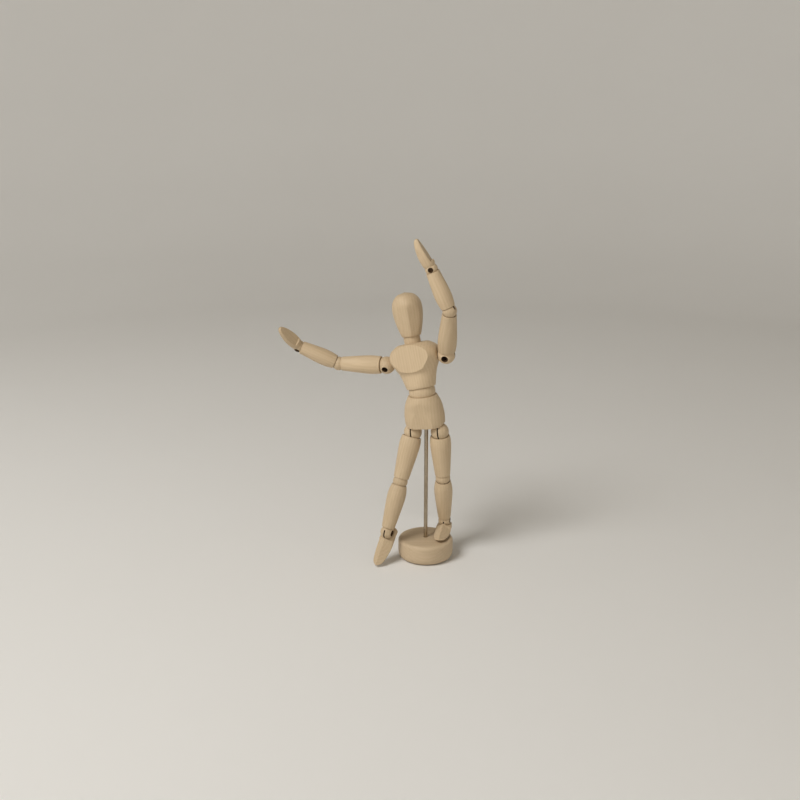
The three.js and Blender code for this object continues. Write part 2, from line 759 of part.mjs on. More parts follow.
function addArm(name, side) {
  const pose = POSE[name];
  const shoulderAt = point(side * shoulderX, 0, SHOULDER_RISE);
  const shoulder = joint(chest, `${name}_shoulder_swing`, X, pose.shoulderSwing, shoulderAt);
  const upperArm = joint(shoulder, `${name}_arm_raise`, Y, pose.armRaise);
  const elbow = joint(upperArm, `${name}_elbow_turn`, Z, pose.elbowTurn, point(0, 0, -UPPER_ARM_LENGTH));
  const forearm = joint(elbow, `${name}_elbow_bend`, X, pose.elbowBend);
  const wrist = joint(forearm, `${name}_wrist_turn`, Z, pose.wristTurn, point(0, 0, -FOREARM_LENGTH));
  const hand = joint(wrist, `${name}_wrist_bend`, X, pose.wristBend);
  const shoulderEnd = limbEnd(SHOULDER_BALL, SHOULDER_RIM_DROP, THICK_SOCKET_WALL);
  const elbowEnd = limbEnd(ELBOW_BALL, ELBOW_RIM_DROP);
  const wristEnd = limbEnd(WRIST_BALL, WRIST_RIM_DROP);
  piece(shoulder, `${name}_shoulder_ball`, shoulderBallGeometry(side));
  piece(
    upperArm,
    `${name}_upper_arm`,
    limb(UPPER_ARM_LENGTH, shoulderEnd, elbowEnd, UPPER_ARM_BELLY, UPPER_ARM_BELLY_AT),
  );
  piece(
    upperArm,
    `${name}_upper_arm_spring`,
    limbSpring(UPPER_ARM_LENGTH, SHOULDER_BALL, SHOULDER_HOLE, ELBOW_BALL, CROSS_HOLE),
    STEEL,
  );
  piece(elbow, `${name}_elbow_ball`, turnBallGeometry(ELBOW_BALL, BEND_SLOT, beadPocket()));
  piece(
    forearm,
    `${name}_forearm`,
    limb(FOREARM_LENGTH, elbowEnd, wristEnd, FOREARM_BELLY, FOREARM_BELLY_AT),
  );
  const forearmSpring = limbSpring(FOREARM_LENGTH, ELBOW_BALL, CROSS_HOLE, WRIST_BALL, WRIST_HOLE);
  piece(wrist, `${name}_forearm_spring`, forearmSpring.translate(0, 0, FOREARM_LENGTH), STEEL);
  piece(hand, `${name}_hand`, handGeometry());
}

// The left sole lies flat: the ankle undoes the tilt that the leg above it has in the reaching pose
function levelAnkle(shin) {
  const up = Z.clone().applyQuaternion(shin.getWorldQuaternion(new THREE.Quaternion()).invert());
  return {
    ankleTurn: THREE.MathUtils.radToDeg(Math.atan2(-up.x, up.y)),
    anklePitch: -THREE.MathUtils.radToDeg(Math.acos(up.z)),
  };
}

function addLeg(name, side) {
  const pose = POSE[name];
  const hipSwing = joint(pelvis, `${name}_hip_swing`, X, pose.hipSwing, point(side * hipX, 0, 0));
  const thigh = joint(hipSwing, `${name}_leg_raise`, Y, pose.legRaise);
  const knee = joint(thigh, `${name}_knee_turn`, Z, pose.kneeTurn, point(0, 0, -THIGH_LENGTH));
  const shin = joint(knee, `${name}_knee_bend`, X, pose.kneeBend);
  const { ankleTurn, anklePitch } = { ...levelAnkle(shin), ...pose };
  const ankle = joint(shin, `${name}_ankle_turn`, Z, ankleTurn, point(0, 0, -SHIN_LENGTH));
  const foot = joint(ankle, `${name}_ankle_pitch`, X, anklePitch);
  const hipEnd = limbEnd(HIP_BALL, HIP_RIM_DROP, THICK_SOCKET_WALL);
  const kneeEnd = limbEnd(KNEE_BALL, KNEE_RIM_DROP);
  const ankleEnd = limbEnd(ANKLE_BALL, ANKLE_RIM_DROP);
  const hipCoilFoot = hollow(HIP_BALL) + COIL_SETBACK;
  const hipCoilTop = HIP_BALL + COIL_SETBACK + HIP_COIL;
  const hipSpring = spring(beadSeat(CROSS_HOLE), hipCoilFoot, hipCoilTop, null);
  piece(pelvis, `${name}_hip_spring`, hipSpring.translate(side * hipX, 0, 0), STEEL);
  piece(hipSwing, `${name}_hip_ball`, hipBallGeometry(side));
  piece(thigh, `${name}_thigh`, limb(THIGH_LENGTH, hipEnd, kneeEnd, THIGH_BELLY, THIGH_BELLY_AT));
  piece(
    thigh,
    `${name}_thigh_spring`,
    limbSpring(THIGH_LENGTH, HIP_BALL, CROSS_HOLE, KNEE_BALL, CROSS_HOLE),
    STEEL,
  );
  piece(knee, `${name}_knee_ball`, turnBallGeometry(KNEE_BALL, BEND_SLOT, beadPocket()));
  piece(shin, `${name}_shin`, limb(SHIN_LENGTH, kneeEnd, ankleEnd, SHIN_BELLY, SHIN_BELLY_AT));
  piece(
    shin,
    `${name}_shin_spring`,
    limbSpring(SHIN_LENGTH, KNEE_BALL, CROSS_HOLE, ANKLE_BALL, CROSS_HOLE),
    STEEL,
  );
  const ankleHole = crossHole(CROSS_HOLE, X, 2 * ANKLE_BALL);
  piece(ankle, `${name}_ankle_ball`, turnBallGeometry(ANKLE_BALL, ANKLE_SLOT, ankleHole));
  piece(foot, `${name}_foot`, footGeometry());
  const footCoilTop = -ANKLE_BALL - COIL_SETBACK - CLEARANCE;
  const footSpring = spring(null, CLEARANCE - ANKLE_HEIGHT, footCoilTop, -beadSeat(CROSS_HOLE));
  piece(foot, `${name}_foot_spring`, footSpring, STEEL);
  return ankle;
}

for (const [name, side] of [['left', 1], ['right', -1]]) {
  addArm(name, side);
}
const leftAnkle = addLeg('left', 1);
addLeg('right', -1);

// The figure stands as high as its left foot asks for, and the rod reaches up into the pelvis
const ankleBelowHips = leftAnkle.getWorldPosition(new THREE.Vector3()).z;
const hipHeight = BASE_HEIGHT + FOOT_HOVER + ANKLE_HEIGHT - ankleBelowHips;
pelvisTurn.position.z = hipHeight;
const rodTop = hipHeight + PELVIS_RIM_DROP / rodUp.z + ROD_IN_PELVIS;

piece(mannequin, 'base', baseGeometry());
const rodFoot = point(0, 0, BASE_HEIGHT - ROD_IN_BASE);
piece(mannequin, 'support_rod', bar(ROD_DIAMETER / 2, rodFoot, point(0, 0, rodTop), SMALL_ROUND), STEEL);

export default mannequin;
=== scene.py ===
import json
import math

import bmesh
import bpy
import numpy as np
from mathutils import Matrix, Vector

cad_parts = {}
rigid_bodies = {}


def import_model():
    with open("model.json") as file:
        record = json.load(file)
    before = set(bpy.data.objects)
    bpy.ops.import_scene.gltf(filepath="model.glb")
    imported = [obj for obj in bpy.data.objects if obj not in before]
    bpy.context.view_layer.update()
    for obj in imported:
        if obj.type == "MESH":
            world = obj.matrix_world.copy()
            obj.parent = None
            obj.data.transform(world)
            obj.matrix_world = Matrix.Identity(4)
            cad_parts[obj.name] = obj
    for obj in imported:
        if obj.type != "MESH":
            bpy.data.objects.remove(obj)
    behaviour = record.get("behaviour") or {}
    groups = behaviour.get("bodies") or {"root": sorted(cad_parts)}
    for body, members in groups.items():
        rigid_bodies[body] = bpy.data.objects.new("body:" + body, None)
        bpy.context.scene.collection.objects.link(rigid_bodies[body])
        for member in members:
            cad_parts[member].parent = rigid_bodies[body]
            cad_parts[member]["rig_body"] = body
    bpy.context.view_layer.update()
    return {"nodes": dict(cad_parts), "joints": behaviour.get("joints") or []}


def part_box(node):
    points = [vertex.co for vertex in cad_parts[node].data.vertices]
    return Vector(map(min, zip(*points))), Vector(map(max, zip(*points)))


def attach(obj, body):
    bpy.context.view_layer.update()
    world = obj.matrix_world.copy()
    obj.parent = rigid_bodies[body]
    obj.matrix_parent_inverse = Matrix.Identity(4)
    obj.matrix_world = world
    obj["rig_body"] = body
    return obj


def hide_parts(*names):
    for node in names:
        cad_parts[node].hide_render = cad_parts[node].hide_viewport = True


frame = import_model()

# Sizes in millimetres, in the frame of each piece: limbs hang along -Z from their upper joint,
# and the face and the toes point along -Y.
MM = 0.001
GAP = 0.3

BASE_RADIUS, BASE_HEIGHT = 33.0, 25.0
BASE_TOP_ROUND, BASE_FOOT_ROUND = 4.4, 9.0
ROD_RADIUS, ROD_GAP, ROD_IN_BASE = 2.25, 0.25, 18.0
ROD_SOCKET_FOOT, ROD_SOCKET_TOP = -20, 22.5

# Distances between joint centres
WAIST_RISE, SHOULDER_RISE, NECK_RISE = 49.5, 36.8, 61.5
SHOULDER_X, HIP_X = 38.0, 16.5
UPPER_ARM, FOREARM, THIGH, SHIN = 59.5, 51.5, 61.0, 62.5

# Balls, the holes, bores and cuts in them, and the half width of the web between the wrist's holes
WAIST_BALL, NECK_BALL, SHOULDER_BALL, ELBOW_BALL = 15.5, 10.7, 10.3, 8.2
WRIST_BALL, HIP_BALL, KNEE_BALL, ANKLE_BALL = 7.2, 10.6, 8.8, 7.8
CROSS_HOLE, SHOULDER_HOLE, WRIST_HOLE, WRIST_WEB = 3.3, 3.6, 3.0, 4.3
SPRING_BORE, KERF, WIRE_PORT, BEAD_POCKET, HOLE_ROUND = 3.0, 1.6, 0.9, 3.4, 0.45

# Ball radius, distance from the ball's centre to the rim, and the rim's outer radius
SHOULDER_END = (SHOULDER_BALL, 6.7, 10.28)
ELBOW_END = (ELBOW_BALL, 4.6, 8.25)
WRIST_END = (WRIST_BALL, 3.6, 7.65)
HIP_END = (HIP_BALL, 5.6, 11.34)
KNEE_END = (KNEE_BALL, 4.4, 9.09)
ANKLE_END = (ANKLE_BALL, 5.2, 7.7)

# Limbs: the widest radius and its distance below the upper joint
UPPER_ARM_BELLY, FOREARM_BELLY = (10.9, 22.0), (9.7, 20.0)
THIGH_BELLY, SHIN_BELLY = (12.4, 18.0), (11.0, 20.0)

# How far the tools that cut a ball reach from its centre
WAIST_REACH, NECK_REACH, SHOULDER_REACH, HIP_REACH = 32.0, 22.0, 22.0, 24.0
ELBOW_REACH, KNEE_REACH, WRIST_REACH, ANKLE_REACH = 18.0, 18.0, 16.0, 16.0

# Saw cuts in the balls: least and greatest angle in degrees, and the reach
WAIST_CUT, NECK_CUT = (-30, 30, WAIST_REACH), (-34, 34, NECK_REACH)
ELBOW_CUT, KNEE_CUT = (-60, 60, ELBOW_REACH), (-60, 60, KNEE_REACH)
WRIST_CUT, ANKLE_CUT = (-60, 66, WRIST_REACH), (-106, 86, ANKLE_REACH)
HIP_SWING_CUT = (-126, 54, HIP_REACH)
LEFT_ARM_CUT, RIGHT_ARM_CUT = (-146, 10, SHOULDER_REACH), (-10, 146, SHOULDER_REACH)
LEFT_LEG_CUT, RIGHT_LEG_CUT = (-54, 28, HIP_REACH), (-28, 54, HIP_REACH)

# Trunk: outlines are pairs of shares, of the height and of the half width
WAIST_RIM, WAIST_RIM_RADIUS, NECK_RIM = 4.5, 16.99, 4.5
PELVIS_FOOT, PELVIS_HALF, PELVIS_FOOT_SHARE = 7.0, 24.0, 0.94
PELVIS_OUTLINE = [(0.13, 0.99), (0.4, 1.0), (0.72, 0.91)]
PELVIS_OVAL, PELVIS_OVAL_SHARE = 0.75, 0.45
PELVIS_FACET_AT, PELVIS_FACET_RISE, PELVIS_FACET_CUT = 14.4, 24.0, 3.6
PELVIS_CHAMFER_X = 19.5
HIP_BORE_TOP, WAIST_BORE_FOOT = 30.4, 24.4
CHEST_HALF, CHEST_TOP_SHARE = 30.5, 0.6
CHEST_FLAT_X, CHEST_FLAT_Y = 29.0, 20.0
CHEST_OUTLINE = [(0.24, 0.675), (0.44, 0.8), (0.59, 0.94), (0.69, 1.0), (0.8, 0.97), (0.9, 0.86)]
ABDOMEN_DRAW, BIB_FOOT_SHARE, BIB_EDGE_SHARE = 0.2, 0.34, 0.46
SPINE_BORE_TOP, NECK_BORE_FOOT = 29.3, 42.4

# Neck and head
NECK_BARREL = 9.6
HEAD_RIM, HEAD_RIM_RADIUS, HEAD_TOP, HEAD_HALF = 4.2, 11.1, 55.0, 17.6
HEAD_DEPTH_RATIO = 38.7 / 35.2
HEAD_OUTLINE = [
    (0.1, 0.73), (0.25, 0.85), (0.43, 0.955), (0.59, 1.0), (0.73, 0.97), (0.83, 0.865), (0.905, 0.7),
    (0.96, 0.475)]
CHIN, BROW = Vector((0, -13.0, 7.0)), Vector((0, -19.3, 36.5))
FACE_ANGLE, FACE_SOFTNESS = math.radians(23), 0.55
HEAD_BORE_TOP = 28.5

# Hands and feet: the foot's plan is pairs of shares, of its half width and of its reach,
# which is the heel's where the share is above zero and the toe's where it is below.
HAND_LENGTH, HAND_BELLY = 37.3, 7.6
HAND_OUTLINE = [
    (0.09, 0.82), (0.18, 0.96), (0.43, 1.0), (0.69, 0.83), (0.83, 0.645), (0.92, 0.46), (0.98, 0.24)]
PALM_LEDGE, PALM_ROOT, PALM_TIP = 8.5, 4.2, 1.9
FOOT_PLAN = [(0.8, 0.72), (0.9, 0.0), (1.0, -0.42), (0.64, -0.86)]
TOE_TOP_DROP, INSTEP_DROP, COLLAR, HEEL_SLOPE = 8.0, 2.0, 1.6, 0.8
TOE_SPRING, SOLE_BEND, SOLE_FLAT_SHARE, SOLE_BEND_SHARE = 1.6, 0.55, 0.72, 0.86
SEAT_EDGE, SEAT_WALL, LEAST_FOOT_SIDE, LEAST_FOOT_HALF, FOOT_END_SHARE = 1.0, 1.5, 1.0, 0.25, 0.02
COLLAR_FALL, ROOF_FALL = 0.05, math.tan(math.radians(38))
ROOF_BEFORE, ROOF_AFTER = 3.0, 5.0
FOOT_SEAT, ANKLE_HEIGHT, TOE_REACH, HEEL_REACH, FOOT_HALF = 5.2, 12.0, 41.0, 10.5, 9.3

# How far each corner of an outline is rounded, in the order of its sections
LIMB_ROUNDS, FOOT_ROUNDS = [0.25, 0.5, 0.5, 0.25, 0, 0], [0.6, 0.25, 0.6, 0.7, 0.7]
PELVIS_ROUNDS, CHEST_ROUNDS = [0.9, 0.5, 0.3, 0], [0.3, 0.5, 2.2, 0.4, 0]
NECK_ROUNDS, HEAD_ROUNDS = [0.5, 0.5, 0], [0.3, 0.5, 0]
BASE_ROUNDS, ROD_ROUNDS = [BASE_FOOT_ROUND, BASE_TOP_ROUND, 0.3, 0, 0], [0.3, 0.4, 0]

# Fineness: sides of turned pieces, and steps along their outlines
FINE, SMOOTH, BORE_SIDES, ROD_SIDES, PAPER_SIDES = 192, 72, 40, 48, 96
BALL_STEPS, TOOL_STEPS, SEAT_STEPS, SOCKET_STEPS, CUT_STEPS = 64, 40, 24, 20, 25
TRUNK_STEPS, LIMB_STEPS, HAND_STEPS, PLAN_STEPS, FOOT_STATIONS = 110, 60, 90, 400, 80
FLAT_STEPS, COLLAR_STEPS, BARREL_STEPS, ROD_STEPS = 30, 14, 12, 40
ROUND_AT = (0.25, 0.5, 0.75)

# Edges, and the metres within which points join or lie on a plane
SHARP_ANGLE = math.radians(40)
WELD, PLANE_SLACK = 3e-6, 1e-7

# Limits in working out shapes and places
ON_AXIS, MOST_TRIM, TIP_SHARE, LEVEL_SLACK = 1e-6, 0.45, 0.97, 0.02


# Materials: each grain is noise scales per millimetre, twice across the piece and once along it
TO_MM = (1000.0, 1000.0, 1000.0)
FIBRE_GRAIN, STREAK_GRAIN = (2.6, 2.6, 0.07), (0.5, 0.5, 0.014)
CLOUD_GRAIN, PORE_GRAIN = (0.06, 0.06, 0.02), (3.4, 3.4, 0.16)
SCUFF_GRAIN, WORN_GRAIN = (0.55, 0.55, 0.2), (0.035, 0.035, 0.02)
TORN_GRAIN = (1.8, 1.8, 0.5)
DRAWN_GRAIN, PATCH_GRAIN = (6.0, 6.0, 0.05), (0.3, 0.3, 0.07)
FIBRE_TONE, STREAK_TONE, RING_TONE, CLOUD_TONE, END_GRAIN_TONE = 0.4, 0.4, 0.12, 0.3, 0.12
PORE_BROWN, EDGE_PALE = (0.25, 0.16, 0.08, 1.0), (0.72, 0.6, 0.43, 1.0)
# The hollow colour is painted shade for the wood's hollows; the scuff colour is wear.
HOLLOW_PAINTED_SHADE, SCUFF_BROWN = (0.13, 0.075, 0.03, 1.0), (0.16, 0.1, 0.05, 1.0)
# The torn colours are painted shade: they paint drilled and sawn faces almost black.
TORN_PAINTED_SHADE_DARK, TORN_PAINTED_SHADE_LIGHT = (0.05, 0.024, 0.008, 1.0), (0.12, 0.062, 0.024, 1.0)


class Graph:
    """A new node material and short ways to add nodes to it."""

    def __init__(self, name):
        self.material = bpy.data.materials.new(name)
        self.material.use_nodes = True
        self.tree = self.material.node_tree
        self.shader = self.tree.nodes["Principled BSDF"]

    def put(self, socket, value):
        if isinstance(value, bpy.types.NodeSocket):
            self.tree.links.new(value, socket)
        else:
            socket.default_value = value

    def add(self, kind, inputs=None, **settings):
        node = self.tree.nodes.new("ShaderNode" + kind)
        for key, value in settings.items():
            setattr(node, key, value)
        for key, value in (inputs or {}).items():
            self.put(node.inputs[key], value)
        return node

    def work_out(self, kind, operation, values):
        node = self.add(kind, operation=operation)
        for socket, value in zip(node.inputs, values):
            self.put(socket, value)
        return node.outputs[0]

    def math(self, operation, *values):
        return self.work_out("Math", operation, values)

    def vector(self, operation, *values):
        return self.work_out("VectorMath", operation, values)

    def noise(self, vector, stretch, detail=3.0, roughness=0.55):
        place = self.vector("MULTIPLY", vector, stretch)
        inputs = {"Vector": place, "Scale": 1.0, "Detail": detail, "Roughness": roughness}
        return self.add("TexNoise", inputs).outputs["Fac"]

    def span(self, value, low, high, to_low=0.0, to_high=1.0):
        inputs = {"Value": value, "From Min": low, "From Max": high, "To Min": to_low, "To Max": to_high}
        return self.add("MapRange", inputs, interpolation_type="SMOOTHSTEP").outputs[0]

    def mix(self, factor, first, second):
        node = self.add("Mix", data_type="RGBA", blend_type="MIX")
        self.put(node.inputs[0], factor)
        self.put(node.inputs[6], first)
        self.put(node.inputs[7], second)
        return node.outputs[2]

    def shade(self, **inputs):
        for key, value in inputs.items():
            self.put(self.shader.inputs[key.replace("_", " ")], value)
        return self.material


def wood(name, pale, deep, grain_turn=(0.0, 0.0, 0.0), marks=0.0):
    """Fine-grained pale wood with the grain along local Z, turned by grain_turn."""
    g = Graph(name)
    coords = g.add("TexCoord")
    chance = g.add("ObjectInfo").outputs["Random"]
    at = g.vector("MULTIPLY", coords.outputs["Object"], TO_MM)
    along = g.add("Mapping", {"Vector": at, "Rotation": grain_turn}).outputs[0]
    shift = g.add("CombineXYZ", {
        "X": g.math("MULTIPLY", chance, 37.0),
        "Y": g.math("MULTIPLY", chance, 23.0),
        "Z": g.math("MULTIPLY", chance, 311.0),
    }).outputs[0]
    place = g.vector("ADD", along, shift)
    fibre = g.noise(place, FIBRE_GRAIN, 4.0, 0.6)
    streak = g.noise(place, STREAK_GRAIN, 3.0)
    cloud = g.noise(place, CLOUD_GRAIN, 2.0)
    pith = g.vector("ADD", place, (9.0, 5.0, 0.0))
    rings = g.add("TexWave", {
        "Vector": g.vector("MULTIPLY", pith, (1.0, 1.0, 0.06)),
        "Scale": 0.1, "Distortion": 3.0, "Detail": 2.0, "Detail Scale": 0.35,
    }, wave_type="RINGS", rings_direction="Z").outputs["Fac"]
    pores = g.span(g.noise(place, PORE_GRAIN, 2.0), 0.64, 0.76)
    facing = g.add("SeparateXYZ", {0: coords.outputs["Normal"]}).outputs["Z"]
    end_grain = g.span(g.math("ABSOLUTE", facing), 0.7, 0.98)

    tone = g.math("MULTIPLY", fibre, FIBRE_TONE)
    tone = g.math("MULTIPLY_ADD", streak, STREAK_TONE, tone)
    tone = g.math("MULTIPLY_ADD", rings, RING_TONE, tone)
    tone = g.math("MULTIPLY_ADD", cloud, CLOUD_TONE, tone)
    tone = g.math("MULTIPLY_ADD", end_grain, END_GRAIN_TONE, tone)
    colour = g.mix(g.span(tone, 0.36, 0.96), pale, deep)
    colour = g.mix(g.math("MULTIPLY", pores, 0.1), colour, PORE_BROWN)
    edge = g.add("NewGeometry").outputs["Pointiness"]
    colour = g.mix(g.span(edge, 0.52, 0.6, 0.0, 0.3), colour, EDGE_PALE)
    # Painted shade: hollows, where the surface curves inward, are darkened.
    colour = g.mix(g.span(edge, 0.48, 0.41, 0.0, 0.5), colour, HOLLOW_PAINTED_SHADE)
    if marks:
        scuffs = g.noise(at, SCUFF_GRAIN, 5.0, 0.7)
        where = g.noise(at, WORN_GRAIN, 1.0)
        worn = g.math("MULTIPLY", g.span(scuffs, 0.6, 0.7), g.span(where, 0.5, 0.66))
        colour = g.mix(g.math("MULTIPLY", worn, marks), colour, SCUFF_BROWN)
    value = g.math("MULTIPLY_ADD", chance, 0.12, 0.94)
    tint = g.add("HueSaturation", {"Value": value, "Color": colour})
    turning = g.add("TexWave", {
        "Vector": along, "Scale": 0.42, "Distortion": 1.2, "Detail": 2.0, "Detail Scale": 0.5,
    }, wave_type="BANDS", bands_direction="Z").outputs["Fac"]
    height = g.math("MULTIPLY_ADD", turning, 0.16, g.math("MULTIPLY", fibre, 0.8))
    height = g.math("MULTIPLY_ADD", pores, -0.5, height)
    soft_edge = g.add("Bevel", {"Radius": 0.0003}, samples=4).outputs[0]
    bump = g.add("Bump", {
        "Strength": 0.32, "Distance": 0.00006, "Height": height, "Normal": soft_edge,
    }).outputs[0]
    rough = g.math("MULTIPLY_ADD", fibre, 0.2, 0.46)
    return g.shade(Base_Color=tint.outputs[0], Roughness=rough, Specular_IOR_Level=0.34, Normal=bump)


def inside_wood_painted_shade(name):
    """Drilled and sawn faces: raw fibres, painted almost black as painted shade inside holes, sockets and
    saw cuts.
    """
    g = Graph(name)
    at = g.vector("MULTIPLY", g.add("TexCoord").outputs["Object"], TO_MM)
    torn = g.noise(at, TORN_GRAIN, 5.0, 0.7)
    # Painted shade: the fibres' two colours are nearly black, for the shade inside holes and cuts.
    colour = g.mix(g.span(torn, 0.35, 0.7), TORN_PAINTED_SHADE_DARK, TORN_PAINTED_SHADE_LIGHT)
    bump = g.add("Bump", {"Strength": 0.6, "Distance": 0.0002, "Height": torn}).outputs[0]
    return g.shade(Base_Color=colour, Roughness=g.math("MULTIPLY_ADD", torn, 0.2, 0.7), Normal=bump)


def steel(name, bright, dull, roughness):
    """Drawn steel with fine lengthwise drawing lines and dull patches."""
    g = Graph(name)
    at = g.vector("MULTIPLY", g.add("TexCoord").outputs["Object"], TO_MM)
    drawn = g.noise(at, DRAWN_GRAIN, 3.0)
    patch = g.noise(at, PATCH_GRAIN, 4.0)
    colour = g.mix(g.span(patch, 0.38, 0.68), bright, dull)
    rough = g.math("MULTIPLY_ADD", patch, 0.18, roughness)
    bump = g.add("Bump", {"Strength": 0.12, "Distance": 0.00002, "Height": drawn}).outputs[0]
    return g.shade(Base_Color=colour, Metallic=1.0, Roughness=rough, Normal=bump)


WOOD = wood("pale_wood", (0.63, 0.49, 0.325, 1.0), (0.525, 0.395, 0.245, 1.0))
BASE_WOOD = wood("base_wood", (0.64, 0.5, 0.34, 1.0), (0.56, 0.43, 0.28, 1.0),
                 (0.0, math.radians(90), math.radians(20)), marks=0.4)
# Painted shade for the faces inside holes, sockets and saw cuts.
INSIDE_PAINTED_SHADE = inside_wood_painted_shade("hole_wood")
ROD_STEEL = steel("rod_steel", (0.45, 0.38, 0.29, 1.0), (0.35, 0.29, 0.21, 1.0), 0.2)
SPRING_STEEL = steel("spring_steel", (0.33, 0.32, 0.3, 1.0), (0.16, 0.14, 0.12, 1.0), 0.3)
# Slot 1 takes the hole material, which is painted shade on bores, sockets and saw cuts.
OUTSIDE_SLOT, INSIDE_SLOT, FLAT_SLOT = 0, 1, 2


# Outlines: rows of (radius, height)

def arc(radius, height, start, stop, steps):
    """Points on a circle centred on the axis, by angle in radians from +Z."""
    turn = np.linspace(start, stop, steps + 1)
    return np.column_stack((radius * np.sin(turn), height + radius * np.cos(turn)))


def spline(points, count):
    """A smooth curve through the points."""
    p = np.asarray(points, float)
    t = np.linspace(0, len(p) - 1, count)
    i = np.minimum(t.astype(int), len(p) - 2)
    w = (t - i)[:, None]
    before, here = p[np.maximum(i - 1, 0)], p[i]
    there, after = p[i + 1], p[np.minimum(i + 2, len(p) - 1)]
    leave, arrive = (there - before) / 2, (after - here) / 2
    cubic = 2 * here - 2 * there + leave + arrive
    square = 3 * there - 3 * here - 2 * leave - arrive
    return cubic * w**3 + square * w**2 + leave * w + here


def trimmed(line, reach):
    """The line without the last reach of its length."""
    steps = np.linalg.norm(np.diff(line, axis=0), axis=1)
    to_end = np.append(np.cumsum(steps[::-1])[::-1], 0.0)
    reach = min(reach, MOST_TRIM * to_end[0])
    last = np.searchsorted(-to_end, -reach) - 1
    share = (to_end[last] - reach) / steps[last]
    return np.vstack((line[: last + 1], line[last] + share * (line[last + 1] - line[last])))


def rounded(sections, reaches, closed=False):
    """Points and section numbers of sections that meet end to end, each corner rounded over its reach."""
    lines = [np.asarray(section, float) for section in sections]
    count = len(lines)
    corners = [line[-1] for line in lines]
    for i, reach in enumerate(reaches):
        if reach and (closed or i < count - 1):
            following = (i + 1) % count
            lines[i] = trimmed(lines[i], reach)
            lines[following] = trimmed(lines[following][::-1], reach)[::-1]
    points, owners = [], []
    for i, line in enumerate(lines):
        points.append(line if i == 0 or reaches[i - 1] else line[1:])
        owners += [i] * len(points[-1])
        if reaches[i] and (closed or i < count - 1):
            start, end = line[-1], lines[(i + 1) % count][0]
            for t in ROUND_AT:
                points.append(((1 - t) ** 2 * start + 2 * t * (1 - t) * corners[i] + t * t * end)[None])
                owners.append(i)
    return np.vstack(points), owners


# Meshes, in millimetres until they become an object

def revolved(profile, owners, inside=(), closed=False, ratios=None, count=SMOOTH):
    """The profile turned about Z: vertices, faces and each face's material slot."""
    turn = np.linspace(0, 2 * math.pi, count, endpoint=False)
    verts, rings = [], []
    for row, (radius, height) in enumerate(profile):
        if radius < ON_AXIS:
            rings.append([len(verts)] * count)
            verts.append((0.0, 0.0, height))
            continue
        ratio = 1.0 if ratios is None else ratios[row]
        rings.append(list(range(len(verts), len(verts) + count)))
        verts += [(radius * math.cos(a), ratio * radius * math.sin(a), height) for a in turn]
    faces, slots = [], []
    pairs = list(zip(range(len(rings) - 1), range(1, len(rings))))
    if closed:
        pairs.append((len(rings) - 1, 0))
    for low, high in pairs:
        slot = INSIDE_SLOT if owners[low] in inside else OUTSIDE_SLOT
        for k in range(count):
            n = (k + 1) % count
            loop = (rings[low][k], rings[low][n], rings[high][n], rings[high][k])
            face = list(dict.fromkeys(loop))
            if len(face) > 2:
                faces.append(face)
                slots.append(slot)
    return np.array(verts), faces, slots


def made(name, verts, faces, slots=None, turn=None):
    """An object from vertices in millimetres, with its normals pointing out."""
    verts = np.asarray(verts, float) * MM
    if turn is not None:
        verts = verts @ np.array(turn.to_3x3()).T
    mesh = bpy.data.meshes.new(name)
    mesh.from_pydata([tuple(v) for v in verts], [], faces)
    if slots:
        mesh.polygons.foreach_set("material_index", slots)
    shape = bmesh.new()
    shape.from_mesh(mesh)
    bmesh.ops.recalc_face_normals(shape, faces=shape.faces)
    shape.to_mesh(mesh)
    shape.free()
    for material in (WOOD, INSIDE_PAINTED_SHADE, WOOD):
        mesh.materials.append(material)
    obj = bpy.data.objects.new(name, mesh)
    bpy.context.scene.collection.objects.link(obj)
    return obj


def combine(obj, tool, operation="DIFFERENCE"):
    """Cuts the tool from the object, or joins it on, and removes the tool."""
    change = obj.modifiers.new("combine", "BOOLEAN")
    change.object, change.operation, change.solver = tool, operation, "EXACT"
    bpy.context.view_layer.update()
    result = bpy.data.meshes.new_from_object(obj.evaluated_get(bpy.context.evaluated_depsgraph_get()))
    obj.modifiers.clear()
    old = obj.data
    obj.data = result
    result.name = old.name
    bpy.data.meshes.remove(old)
    bpy.data.meshes.remove(tool.data)
    return obj


def soft_clamp(verts, at, normal, softness):
    """Moves what lies outside a plane onto it, with a softly rounded edge."""
    n = np.array(normal, float)
    n /= np.linalg.norm(n)
    s = (verts - np.array(at, float)) @ n
    held = -softness * np.logaddexp(0.0, -s / softness)
    return verts - np.outer(s - held, n)


def ball_tool(name, radius, centre):
    profile = arc(radius, 0.0, 0.0, math.pi, TOOL_STEPS)
    verts, faces, _ = revolved(profile, [0] * len(profile))
    return made(name, verts + np.array(centre), faces)


def bar_tool(name, radius, start, stop):
    """A round bar between two points, to drill with."""
    start, stop = Vector(start), Vector(stop)
    length = (stop - start).length
    profile = [(0.0, 0.0), (radius, 0.0), (radius, length), (0.0, length)]
    verts, faces, _ = revolved(profile, [0] * len(profile), count=BORE_SIDES)
    turn = (stop - start).to_track_quat("Z", "Y").to_matrix()
    verts = verts @ np.array(turn).T + np.array(start)
    return made(name, verts, faces, [INSIDE_SLOT] * len(faces))


def prism(outline, axis, half, slot):
    """An outline of (across, up) points pushed both ways along X or Y, to cut with."""
    if axis == "X":
        verts = [(side * half, u, v) for side in (-1, 1) for u, v in outline]
    else:
        verts = [(-u, side * half, v) for side in (-1, 1) for u, v in outline]
    count = len(outline)
    faces = [(0, i, i + 1) for i in range(1, count - 1)]
    faces += [(count, count + i + 1, count + i) for i in range(1, count - 1)]
    faces += [(i, (i + 1) % count, count + (i + 1) % count, count + i) for i in range(count)]
    return made("prism", verts, faces, [slot] * len(faces))


